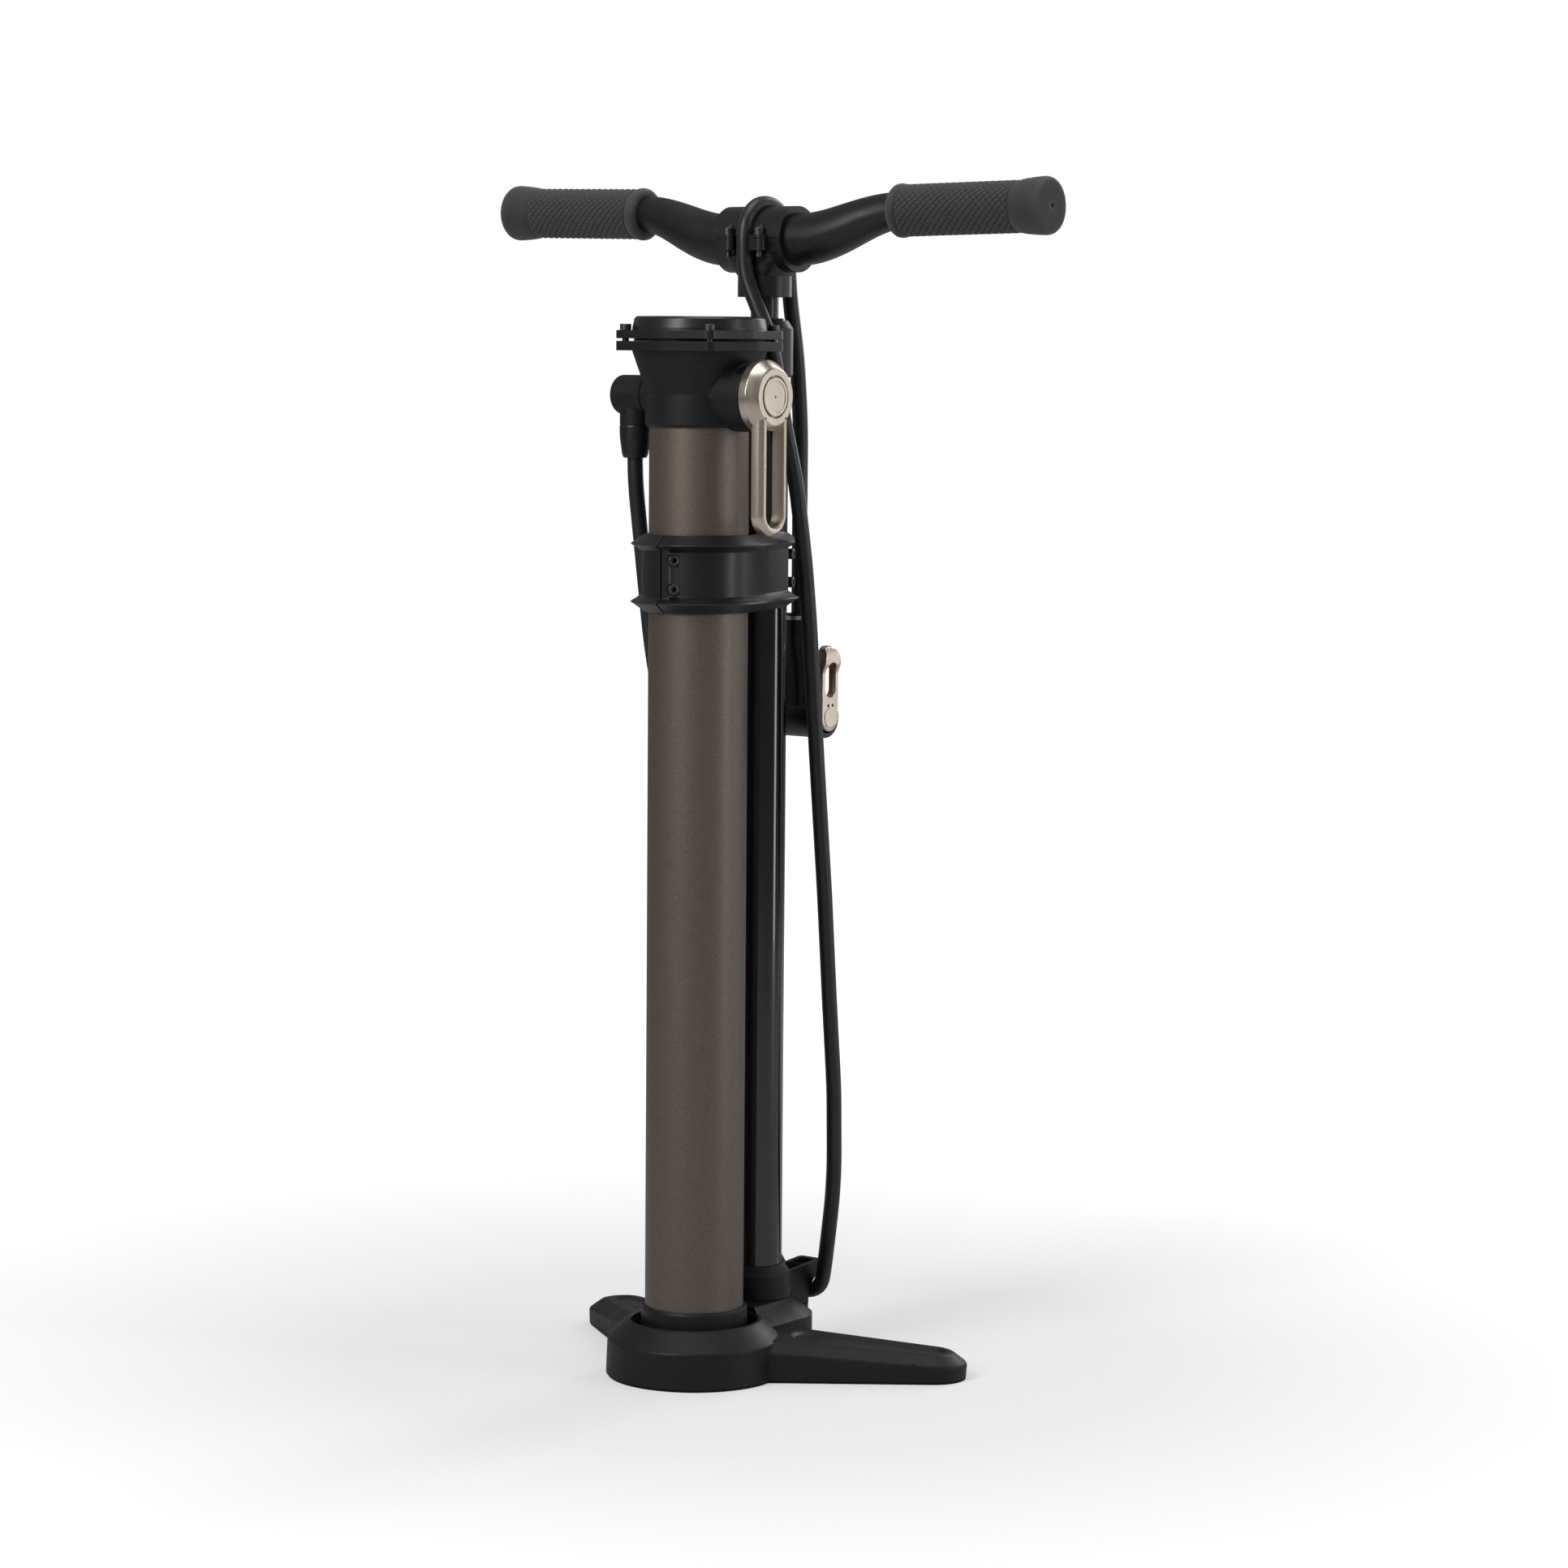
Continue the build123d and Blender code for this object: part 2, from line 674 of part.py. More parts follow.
selector_cap_face = lever_front + 0.2
with BuildPart() as selector_cap:
    post(across(lever_front - 1.55), 11.7, 1.75, valve_spot)
    cap_rim = [
        e
        for e in selector_cap.edges().filter_by(GeomType.CIRCLE)
        if abs(e.arc_center.X - selector_cap_face) < 0.02
    ]
    try_fillet(cap_rim, 0.5)
    # shallow dish with a small dimple at its centre
    drill(across(selector_cap_face), 9.6, -0.4, valve_spot)
    drill(across(selector_cap_face), 0.7, -1.2, valve_spot)
save(selector_cap, "selector_cap")

# (x, radius)
spool_outline = [
    (-17.8, 0), (-17.8, 6.95), (14.0, 6.95), (14.0, 5.4), (17.0, 5.4), (17.0, 6.95),
    (22.0, 6.95), (22.0, 5.4), (25.0, 5.4), (25.0, 6.95), (44.4, 6.95), (44.4, 4.95),
    (55.5, 4.95), (55.5, 0),
]
with BuildPart() as selector_spool:
    turn(chamber_xz, valve_axis, about(valve_z, spool_outline))
    # air way along the spool and down out of it
    drill(across(-20.0), 3.5, 24.0, valve_spot)
    drill(level(valve_z), 2.5, -10.0, chamber_spot)
save(selector_spool, "selector_spool")

save_seals(
    "spool_seals", chamber_xz, valve_axis, 0.72, (15.5, valve_z + 6.18), (23.5, valve_z + 6.18)
)

# ---------------------------------------------------------------- hose elbow and ferrule on the left
elbow_body_r = 12.0
with BuildPart() as hose_elbow:
    # spigot and body, with a rounded outer end
    with BuildSketch(chamber_xz):
        with BuildLine():
            Polyline(
                (-26.2, valve_z),
                (-26.2, valve_z + 7.0),
                (-37.3, valve_z + 7.0),
                (-37.3, valve_z + elbow_body_r),
                (-57.5, valve_z + elbow_body_r),
            )
            ThreePointArc(
                (-57.5, valve_z + elbow_body_r),
                (-59.975, valve_z + 10.975),
                (-61.0, valve_z + 8.5),
            )
            Polyline((-61.0, valve_z + 8.5), (-61.0, valve_z), (-26.2, valve_z))
        make_face()
    revolve(axis=valve_axis)
    # downward leg, then the air way through both
    post(level(elbow_bottom_z), 9.4, valve_z - elbow_bottom_z, (elbow_x, chamber_y))
    drill(across(-20.0), 3.6, -32.0, valve_spot)
    drill(level(valve_z), 3.2, -30.0, (elbow_x, chamber_y))
save(hose_elbow, "hose_elbow")

ferrule_hose_r = hose_r + 0.1
# (radius, z)
ferrule_outline = [
    (3.3, 577.3), (9.2, 577.3), (9.6, 576.3), (9.3, 569.5), (8.0, 560.0), (7.0, 557.6),
    (ferrule_hose_r, 557.6), (ferrule_hose_r, 573.0), (3.3, 573.0),
]
save_turned(
    "hose_ferrule",
    facing_front(chamber_y, elbow_x),
    Axis((elbow_x, chamber_y, 0), (0, 0, 1)),
    ferrule_outline,
)

# ---------------------------------------------------------------- clamp that ties the chamber to the barrel
clamp_mid_z = (clamp_low_z + clamp_high_z) / 2
# flared and waisted: (z, growth of the outline)
clamp_sections = [
    (clamp_low_z, -3.4), (472.2, 3.0), (474.0, 1.8), (477.6, -3.0),
    (501.9, -3.0), (505.5, 1.8), (507.3, 3.0), (clamp_high_z, -3.4),
]
# borders along the front and rear splits: (width, middle y, depth)
clamp_borders = [(18.0, -98.0, 30.0), (16.0, 22.0, 16.0)]
clamp_screw_spots = [
    (y, clamp_mid_z + side * 8.7) for y in (-99.3, 20.0) for side in (1, -1)
]


def clamp_profile(z, grow):
    """Sketch of the clamp's outline at a height, grown outwards by a given amount."""
    slim = grow * 0.7
    with BuildSketch(level(z)) as outline:
        with BuildLine():
            full_circles(
                (0, chamber_y, 37.0 + grow),
                (0, chamber_y - 27.6, 9.6 + grow),
                (0, 0, 19.4 + slim),
                (0, 14.0, 9.5 + slim),
            )
        make_hull()
    return outline.sketch


with BuildPart() as clamp_body:
    for lower, upper in zip(clamp_sections, clamp_sections[1:]):
        add(clamp_profile(*lower))
        add(clamp_profile(*upper))
        loft(ruled=True)
    # thick borders along the front and rear splits
    for width, middle_y, depth in clamp_borders:
        with BuildSketch(level(473.5)):
            add(clamp_profile(0.0, 1.4))
            with Locations((0, middle_y)):
                Rectangle(width, depth, mode=Mode.INTERSECT)
        extrude(amount=32.5)
    # cradle behind the barrel for the parked hose, open to the rear
    with BuildSketch(level(475.5)):
        with Locations(head_spot):
            Circle(8.2)
        with Locations((0, 26.0)):
            Rectangle(9.0, 12.0)
        with Locations(head_spot):
            Circle(hose_r + 0.15, mode=Mode.SUBTRACT)
        with Locations((0, head_y + 7.5)):
            Rectangle(9.9, 15.0, mode=Mode.SUBTRACT)
    extrude(amount=28.5)
    # bores for the chamber and the barrel
    with BuildSketch(level(clamp_low_z - 5)):
        with Locations(chamber_spot):
            Circle(chamber_r + 0.05)
        Circle(barrel_r + 0.05)
    extrude(amount=60.0, mode=Mode.SUBTRACT)
    # screw holes along X, with room for the heads against the borders
    drill(across(-14.0), 1.8, 60.0, *clamp_screw_spots)
    drill(across(8.5), 3.2, 5.0, *clamp_screw_spots)

clamp_split = 0.06  # half the gap between the two clamp halves
with BuildPart() as clamp_right:
    add(clamp_body.part)
    split(bisect_by=across(clamp_split), keep=Keep.TOP)
save(clamp_right, "clamp_right")

with BuildPart() as clamp_left:
    add(clamp_body.part)
    split(bisect_by=across(-clamp_split), keep=Keep.BOTTOM)
save(clamp_left, "clamp_left")

save_socket_screws(
    "clamp_screws",
    across,
    Axis.X,
    clamp_screw_spots,
    shank=(-12.0, 1.7, 21.0),
    head=(8.6, 3.0, 3.4),
    rounding=0.4,
    socket=(12.0, 1.6, -2.2),
)

# ---------------------------------------------------------------- pump head, parked below the clamp
button_z = 419.0
button_stem_z = 417.0
hinge_spot = (hinge_x, chuck_z)
pin_half_length = 11.2
hinge_bore_half_length = 11.3
# rounded sections under the round top: (z, width, depth)
head_sections = [(428.0, 22.0, 19.4), (404.0, 26.0, 21.0), (392.0, 26.0, 21.0)]
with BuildPart() as head_body:
    with BuildSketch(level(441.7)):
        with Locations(head_spot):
            Circle(9.4)
    for z, width, depth in head_sections:
        with BuildSketch(level(z)):
            with Locations(head_spot):
                RectangleRounded(width, depth, 7.0)
    loft(ruled=False)
    post(across(-22.0), 12.6, 44.6, chuck_spot)
    chuck_rims = [
        e
        for e in head_body.edges().filter_by(GeomType.CIRCLE)
        if (e @ 0.5).X > 22.5 and e.radius > 12.4
    ]
    try_fillet(chuck_rims, 1.4)
    # slot for the lever, with a cheek on each side
    with BuildSketch(facing_right(11.2, head_y)):
        with Locations((0, chuck_z)):
            Circle(9.65)
        with Locations((0, chuck_z + 20.0)):
            Rectangle(17.5, 50.0)
    extrude(amount=20.0, mode=Mode.SUBTRACT)
    drill(
        facing_front(head_y - hinge_bore_half_length), 1.6, -2 * hinge_bore_half_length, hinge_spot
    )
    # oval well for the bleed button, and the hole for its stem
    with BuildSketch(facing_right(9.4, head_y, button_z)):
        SlotOverall(22.0, 10.4, rotation=90)
    extrude(amount=20.0, mode=Mode.SUBTRACT)
    drill(across(0), 2.1, 12.0, (head_y, button_stem_z))
    # chuck bore, open to the left; air way down from the hose
    drill(across(-30.0), 7.5, 38.0, chuck_spot)
    drill(across(7.0), 3.6, 10.0, chuck_spot)
    drill(level(400.0), 2.2, 50.0, (-2.5, head_y))
    drill(level(436.0), 5.6, 10.0, head_spot)
save(head_body, "head_body")

head_ring_z = 458.4
# (radius, z)
swivel_outline = [
    (1.8, 436.1), (5.5, 436.1), (5.5, 441.8), (9.4, 441.8), (9.6, 448.0), (9.2, 456.0),
    (8.2, 461.0), (hose_r + 0.1, 461.0), (hose_r + 0.1, 445.0), (1.8, 445.0),
]
with BuildPart() as head_swivel:
    turn(head_xz, head_axis, swivel_outline)
    # groove for the ring
    with BuildSketch(head_xz):
        with Locations((9.0, head_ring_z)):
            Rectangle(1.4, 2.6)
    revolve(axis=head_axis, mode=Mode.SUBTRACT)
save(head_swivel, "head_swivel")

with BuildPart() as head_ring:
    with BuildSketch(head_xz):
        with Locations((8.95, head_ring_z)):
            Rectangle(1.2, 2.4)
    revolve(axis=head_axis)
save(head_ring, "head_ring")

# (x, radius)
collar_outline = [
    (-23.6, 0), (-23.6, 11.0), (-22.2, 12.0), (-22.05, 7.4), (-12.0, 7.4), (-12.0, 0),
]
with BuildPart() as head_collar:
    turn(head_xz, chuck_axis, about(chuck_z, collar_outline))
    drill(across(-30.0), 4.2, 30.0, chuck_spot)
save(head_collar, "head_collar")

with BuildPart() as head_gasket:
    with BuildSketch(across(-11.9)):
        with Locations(chuck_spot):
            Circle(7.3)
            Circle(3.9, mode=Mode.SUBTRACT)
    extrude(amount=7.6)
save(head_gasket, "head_gasket")

# (x, radius)
plunger_outline = [(-1.2, 0), (-1.2, 7.44), (6.0, 7.44), (6.0, 3.5), (11.3, 3.5), (11.3, 0)]
save_turned("head_plunger", head_xz, chuck_axis, about(chuck_z, plunger_outline))

lever_half_width = 8.4
lever_plane_x = hinge_x - 10.0  # inboard of the lever, cuts run right from here
# front view of the pivot barrel, loop and out-turned lip: (x, z)
head_lever_outline = [
    (hinge_x - 3.4, chuck_z - 8.0), (hinge_x + 4.4, chuck_z - 8.0), (hinge_x + 4.4, 431.0),
    (hinge_x + 5.6, 435.5), (hinge_x + 12.2, 441.4), (hinge_x + 10.4, 444.2),
    (hinge_x + 3.0, 439.2), (hinge_x - 0.4, 433.0), (hinge_x - 0.9, chuck_z + 6.0),
    (hinge_x - 3.4, chuck_z + 4.0), (hinge_x - 3.4, chuck_z - 8.0),
]
with BuildPart() as head_lever:
    with BuildSketch(facing_front(head_y - lever_half_width)):
        with BuildLine():
            Polyline(*head_lever_outline)
        make_face()
    extrude(amount=-2 * lever_half_width)
    # round its lower end to the chuck
    with BuildSketch(facing_right(lever_plane_x, head_y)):
        with Locations((0, chuck_z)):
            Circle(8.3)
        with Locations((0, chuck_z + 40.0)):
            Rectangle(16.6, 80.0)
    extrude(amount=40.0, mode=Mode.INTERSECT)
    # opening of the loop
    with BuildSketch(facing_right(lever_plane_x, head_y, 421.0)):
        SlotOverall(24.0, 10.6, rotation=90)
    extrude(amount=40.0, mode=Mode.SUBTRACT)
    drill(facing_front(head_y - 12.0), 1.55, -24.0, hinge_spot)
    # two small spanner holes in the pivot boss
    drill(facing_right(hinge_x + 3.4, head_y, chuck_z + 4.4), 1.0, 3.0, (-2.4, 0), (2.4, 0))
save(head_lever, "head_lever")

with BuildPart() as head_hinge_pin:
    post(facing_front(head_y - pin_half_length), 1.5, -2 * pin_half_length, hinge_spot)
save(head_hinge_pin, "head_hinge_pin")

with BuildPart() as bleed_button:
    with BuildSketch(facing_right(11.6, head_y, button_z)):
        SlotOverall(19.0, 8.4, rotation=90)
    extrude(amount=3.2)
    try_fillet(bleed_button.edges().group_by(Axis.X)[-1], 1.4)
    post(across(3.0), 2.0, 9.0, (head_y, button_stem_z))
save(bleed_button, "bleed_button")

# ---------------------------------------------------------------- rod, piston and handle
save_tube("rod", barrel_spot, rod_r, rod_wall, rod_bottom_z, rod_top_z)

# (radius, z)
piston_outline = [
    (0, 66.0), (13.34, 66.0), (13.34, 70.0), (11.4, 70.0), (11.4, 73.0), (13.34, 73.0),
    (13.34, 77.9), (6.95, 77.9), (6.95, 92.0), (0, 92.0),
]
save_turned("piston", barrel_xz, barrel_axis, piston_outline)
save_seals("piston_seal", barrel_xz, barrel_axis, 0.95, (12.4, 71.5))

saddle_r = 21.8  # the parked hose runs over the handle clamp at this radius
stem_r = 16.5
stem_neck_z = 668.0
block_z = 680.0  # the stem has grown to the block's full size here
block_length, block_depth, block_corner_r = 51.0, 36.0, 12.0
bolt_x = 11.5
lug_spots = corner_spots(bolt_x, 20.5)
handle_bolt_spots = corner_spots(bolt_x, 21.6)

with BuildPart() as clamp_block:
    # round stem growing into a saddle under the bar
    with BuildSketch(level(stem_bottom_z)):
        Circle(stem_r)
    with BuildSketch(level(stem_neck_z)):
        Circle(stem_r)
    loft(ruled=True)
    with BuildSketch(level(stem_neck_z)):
        Circle(stem_r)
    with BuildSketch(level(block_z)):
        RectangleRounded(block_length, block_depth, block_corner_r)
    loft(ruled=False)
    with BuildSketch(level(block_z)):
        RectangleRounded(block_length, block_depth, block_corner_r)
    extrude(amount=bar_z - block_z)
    post(across(-block_length / 2), 20.0, block_length, (0, bar_z))
    # four bolt lugs
    with BuildSketch(level(683.0)):
        with Locations(*lug_spots):
            RectangleRounded(11.5, 13.0, 3.5)
    extrude(amount=9.0)
    dome = [
        e
        for e in clamp_block.edges()
        if abs(abs((e @ 0.5).X) - block_length / 2) < 0.01 and (e @ 0.5).Z > bar_z + 5
    ]
    try_fillet(dome, 1.2)
    # way for the parked hose over the top and down both faces
    with BuildSketch(level(bar_z)):
        with Locations((0, saddle_r), (0, -saddle_r)):
            Circle(hose_r + 0.75)
    revolve(axis=Axis((0, 0, bar_z), (1, 0, 0)), revolution_arc=360, mode=Mode.SUBTRACT)
    with BuildSketch(level(664.0)):
        with Locations((0, saddle_r + 1.0), (0, -saddle_r - 1.0)):
            SlotOverall(14.0, 2 * (hose_r + 0.6), rotation=90)
    extrude(amount=bar_z - 664.0, mode=Mode.SUBTRACT)
    # bore for the bar and socket for the rod
    drill(across(-40.0), bar_r + 0.05, 80.0, (0, bar_z))
    drill(level(stem_bottom_z - 5), rod_r + 0.05, 674.0 - stem_bottom_z + 5, barrel_spot)
    # threads, and room for the bolt heads
    drill(level(678.0), 1.9, 20.0, *handle_bolt_spots)
    drill(level(692.0), 3.65, 20.0, *handle_bolt_spots)

handle_split = 0.15  # half the gap between the stem and the cap
with BuildPart() as handle_stem:
    add(clamp_block.part)
    split(bisect_by=level(bar_z - handle_split), keep=Keep.BOTTOM)
save(handle_stem, "handle_stem")

with BuildPart() as handle_clamp_cap:
    add(clamp_block.part)
    split(bisect_by=level(bar_z + handle_split), keep=Keep.TOP)
save(handle_clamp_cap, "handle_clamp_cap")

save_socket_screws(
    "handle_clamp_bolts",
    level,
    Axis.Z,
    handle_bolt_spots,
    shank=(679.0, 1.8, 13.2),
    head=(692.1, 3.5, 4.6),
    rounding=0.5,
    socket=(696.8, 1.8, -3.0),
)

grip_start = (95.0, 5.0, 706.4)
grip_end = (203.5, 7.3, 708.4)
grip_dir = (Vector(*grip_end) - Vector(*grip_start)).normalized()
grip_bar_plane = Plane(origin=grip_start, x_dir=(0, 1, 0), z_dir=grip_dir)
bar_middle = 27.0  # half-length of the straight middle of the bar
# stations of the rise between the middle and the grip: centre, normal, radius
bar_stations = [
    ((42.0, 0.6, 691.6), (0.975, 0, 0.22), bar_r - 0.6),
    ((60.0, 2.0, 697.2), (0.935, 0, 0.355), 14.0),
    ((79.0, 3.8, 703.6), (0.965, 0, 0.26), 12.2),
]
with BuildPart() as right_bar:
    post(across(0), bar_r, bar_middle, (0, bar_z))
    with BuildSketch(across(bar_middle)):
        with Locations((0, bar_z)):
            Circle(bar_r)
    for centre, normal, radius in bar_stations:
        with BuildSketch(Plane(origin=centre, x_dir=(0, 1, 0), z_dir=normal)):
            Circle(radius)
    with BuildSketch(grip_bar_plane):
        Circle(grip_bar_r)
    loft(ruled=False)
    # straight end under the grip, bored from its open end
    post(grip_bar_plane, grip_bar_r, 104.0, (0, 0))
    drill(grip_bar_plane.offset(40), grip_bar_r - 1.8, 80.0, (0, 0))

with BuildPart() as handlebar:
    add(right_bar.part)
    mirror(right_bar.part, about=Plane.YZ)
save(handlebar, "handlebar")

grip_plane = Plane(origin=grip_start, x_dir=grip_dir, z_dir=grip_dir.cross(Vector(0, 0, 1)))
grip_bore_r = grip_bar_r + 0.03
# (distance along the grip, radius)
grip_outline = [
    (0.0, grip_bore_r), (0.0, 14.4), (1.2, 15.6), (3.6, 16.2), (5.6, 16.0), (7.0, 15.4),
    (86.0, 15.4), (89.0, 15.9), (95.0, 16.6), (104.5, 17.2), (107.6, 16.4), (108.6, 15.0),
    (108.6, 1.2), (105.4, 1.2), (105.4, grip_bore_r),
]
with BuildPart() as grip_right:
    turn(grip_plane, Axis(grip_plane.origin, grip_dir), grip_outline)
save(grip_right, "grip_right")

with BuildPart() as grip_left:
    add(grip_right.part)
    mirror(about=Plane.YZ, mode=Mode.REPLACE)
save(grip_left, "grip_left")

# ---------------------------------------------------------------- hose: down from the elbow, round the hook, over the handle and down to the head
# corners of the route: (x, y, z)
hose_points = [
    # down from the elbow to the hook
    (elbow_x, chamber_y, 572.9), (elbow_x, chamber_y, 545.0), (-45.5, -50.0, 430.0),
    (-38.0, -26.0, 340.0), (-30.0, 0.0, 250.0), (-24.5, 20.0, 150.0), (-22.0, 36.0, 66.0),
    # under the hook
    (-11.5, 51.2, 32.4), (11.5, 51.2, 32.4),
    # up the right-hand side
    (23.0, 41.0, 62.0), (30.0, 39.0, 107.0), (33.0, 33.6, 167.0), (33.0, 27.5, 228.0),
    (33.0, 22.0, 289.0), (32.0, 14.4, 370.0), (30.0, 7.7, 460.0), (29.6, 4.1, 490.0),
    (29.2, 0.6, 512.0), (26.8, -2.2, 541.0), (24.6, -5.0, 559.0), (22.5, -9.5, 579.0),
    (21.0, -17.0, 615.0), (17.0, -19.6, 634.0), (9.0, -21.4, 652.0), (1.5, -22.4, 668.0),
    # over the handle
    (0.0, -saddle_r, bar_z + saddle_r), (0.0, saddle_r, bar_z + saddle_r),
    # down behind the barrel to the head
    (0.5, 24.0, 658.0), (1.2, 32.0, 620.0), (1.4, 36.0, 575.0),
    (0.0, head_y, 505.0), (0.0, head_y, 445.4),
]


def bend_radii(points):
    """Largest bend at each corner that leaves room for its neighbours, up to 400 mm."""
    radii = []
    for a, b, c in zip(points, points[1:], points[2:]):
        before = Vector(*b) - Vector(*a)
        after = Vector(*c) - Vector(*b)
        half = radians(before.get_angle(after)) / 2
        room = 0.47 * min(before.length, after.length)
        radii.append(min(400.0, room * cos(half) / max(sin(half), 1e-3)))
    return radii


with BuildPart() as hose:
    with BuildLine() as hose_path:
        FilletPolyline(*hose_points, radius=bend_radii(hose_points))
    with BuildSketch(Plane(origin=hose_points[0], x_dir=(1, 0, 0), z_dir=(0, 0, -1))):
        Circle(hose_r)
        Circle(hose_bore_r, mode=Mode.SUBTRACT)
    sweep(path=hose_path.wires()[0])
save(hose, "hose")

# ---------------------------------------------------------------- screws under the base
socket_depth = 2.0
# spots, head bottom z, head radius, socket radius, head thickness above the socket, shank z, shank length
base_screw_sets = [
    (plug_screw_spots, 3.0, 4.0, 2.0, 0.95, 5.5, 14.1),
    (foot_screw_spots, 12.9, 3.9, 1.8, 1.05, 15.5, 18.0),
]
with BuildPart() as base_screws:
    for spots, head_z, screw_head_r, socket_r, web, shank_z, shank_length in base_screw_sets:
        with BuildSketch(level(head_z)):
            with Locations(*spots):
                Circle(screw_head_r)
                RegularPolygon(socket_r, 6, mode=Mode.SUBTRACT)
        extrude(amount=socket_depth)
        post(level(head_z + socket_depth), screw_head_r, web, *spots)
        post(level(shank_z), 2.05, shank_length, *spots)
save(base_screws, "base_screws")
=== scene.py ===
# A floor pump standing upright on the ground (Z = 0). The chamber and the dial share one
# vertical axis at Y = CHAMBER_Y. -Y is the front, +Y the rear, and +X the right-hand side.
# Meshes are laid out in millimetres and scaled to metres as they are built.
import json
import math

import bmesh
import bpy
from mathutils import Matrix, Vector


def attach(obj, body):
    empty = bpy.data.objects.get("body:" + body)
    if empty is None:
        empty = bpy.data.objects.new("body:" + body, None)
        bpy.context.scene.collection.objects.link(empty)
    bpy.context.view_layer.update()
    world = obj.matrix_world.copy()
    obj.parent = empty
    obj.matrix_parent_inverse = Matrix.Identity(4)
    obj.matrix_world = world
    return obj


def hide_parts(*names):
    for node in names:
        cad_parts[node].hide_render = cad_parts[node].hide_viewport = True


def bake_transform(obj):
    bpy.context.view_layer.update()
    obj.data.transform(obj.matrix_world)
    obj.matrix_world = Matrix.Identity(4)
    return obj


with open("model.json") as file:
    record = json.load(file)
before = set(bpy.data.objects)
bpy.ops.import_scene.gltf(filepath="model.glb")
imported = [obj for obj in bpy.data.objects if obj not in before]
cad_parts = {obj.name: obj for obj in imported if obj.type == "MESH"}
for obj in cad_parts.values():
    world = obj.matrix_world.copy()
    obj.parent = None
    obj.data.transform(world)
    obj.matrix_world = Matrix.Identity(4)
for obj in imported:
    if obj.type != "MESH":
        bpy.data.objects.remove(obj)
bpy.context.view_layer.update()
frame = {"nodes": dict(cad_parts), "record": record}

MM = 0.001
CHAMBER_Y = -64.4


# ------------------------------------------------------------------ shader tools
class Graph:
    """One material's node tree. Arguments may be plain values or sockets to link."""

    def __init__(self, name):
        self.material = bpy.data.materials.new(name)
        self.material.use_nodes = True
        self.tree = self.material.node_tree
        self.principled = self.tree.nodes["Principled BSDF"]
        self.object_coords = self.add("TexCoord").outputs["Object"]

    def feed(self, socket, value):
        if isinstance(value, bpy.types.NodeSocket):
            self.tree.links.new(value, socket)
        else:
            socket.default_value = value

    def feed_named(self, node, inputs):
        for name, value in inputs.items():
            self.feed(node.inputs[name.replace("_", " ")], value)

    def add(self, kind, **inputs):
        node = self.tree.nodes.new("ShaderNode" + kind)
        self.feed_named(node, inputs)
        return node

    def surface(self, **inputs):
        self.feed_named(self.principled, inputs)

    def noise(self, scale, detail=2.0, rough=0.5, z_scale=None):
        """Noise value; z_scale below 1 draws the pattern out along Z."""
        coords = self.object_coords
        if z_scale is not None:
            mapping = self.add("Mapping", Vector=coords, Scale=(1, 1, z_scale))
            coords = mapping.outputs["Vector"]
        node = self.add("TexNoise", Vector=coords, Scale=scale, Detail=detail, Roughness=rough)
        return node.outputs["Fac"]

    def voronoi(self, scale, output):
        node = self.add("TexVoronoi", Vector=self.object_coords, Scale=scale)
        return node.outputs[output]

    def ramp(self, value, span, to=(0.0, 1.0)):
        """Map the span of the value onto another range."""
        node = self.add(
            "MapRange", Value=value, From_Min=span[0], From_Max=span[1], To_Min=to[0], To_Max=to[1]
        )
        return node.outputs["Result"]

    def mix(self, factor, first, second):
        """Blend two colours, each an RGB tuple or a socket."""
        node = self.tree.nodes.new("ShaderNodeMix")
        node.data_type = "RGBA"
        self.feed(node.inputs["Factor"], factor)
        for name, colour in (("A", first), ("B", second)):
            if isinstance(colour, tuple):
                colour = (*colour, 1.0)
            self.feed(node.inputs[name], colour)
        return node.outputs["Result"]

    def mottle(self, pattern, dark, light):
        return self.mix(self.ramp(pattern, span=(0.3, 0.7)), dark, light)

    def math(self, operation, first, second):
        node = self.add("Math")
        node.operation = operation
        self.feed(node.inputs[0], first)
        self.feed(node.inputs[1], second)
        return node.outputs["Value"]

    def edge_wear(self, radius):
        """A mask that is 1 on edges and 0 on flats, and the normal with rounded edges."""
        bevel = self.add("Bevel", Radius=radius)
        bevel.samples = 4
        geometry = self.add("NewGeometry")
        dot = self.add("VectorMath")
        dot.operation = "DOT_PRODUCT"
        self.feed(dot.inputs[0], bevel.outputs["Normal"])
        self.feed(dot.inputs[1], geometry.outputs["Normal"])
        return self.ramp(dot.outputs["Value"], span=(0.99, 0.85)), bevel.outputs["Normal"]

    def bump(self, height, strength, distance=0.0001, normal=None):
        node = self.add("Bump", Strength=strength, Distance=distance, Height=height)
        if normal is not None:
            self.feed(node.inputs["Normal"], normal)
        self.surface(Normal=node.outputs["Normal"])


def shade(colour, factor, lift=0.0):
    return tuple(min(1.0, channel * factor + lift) for channel in colour)


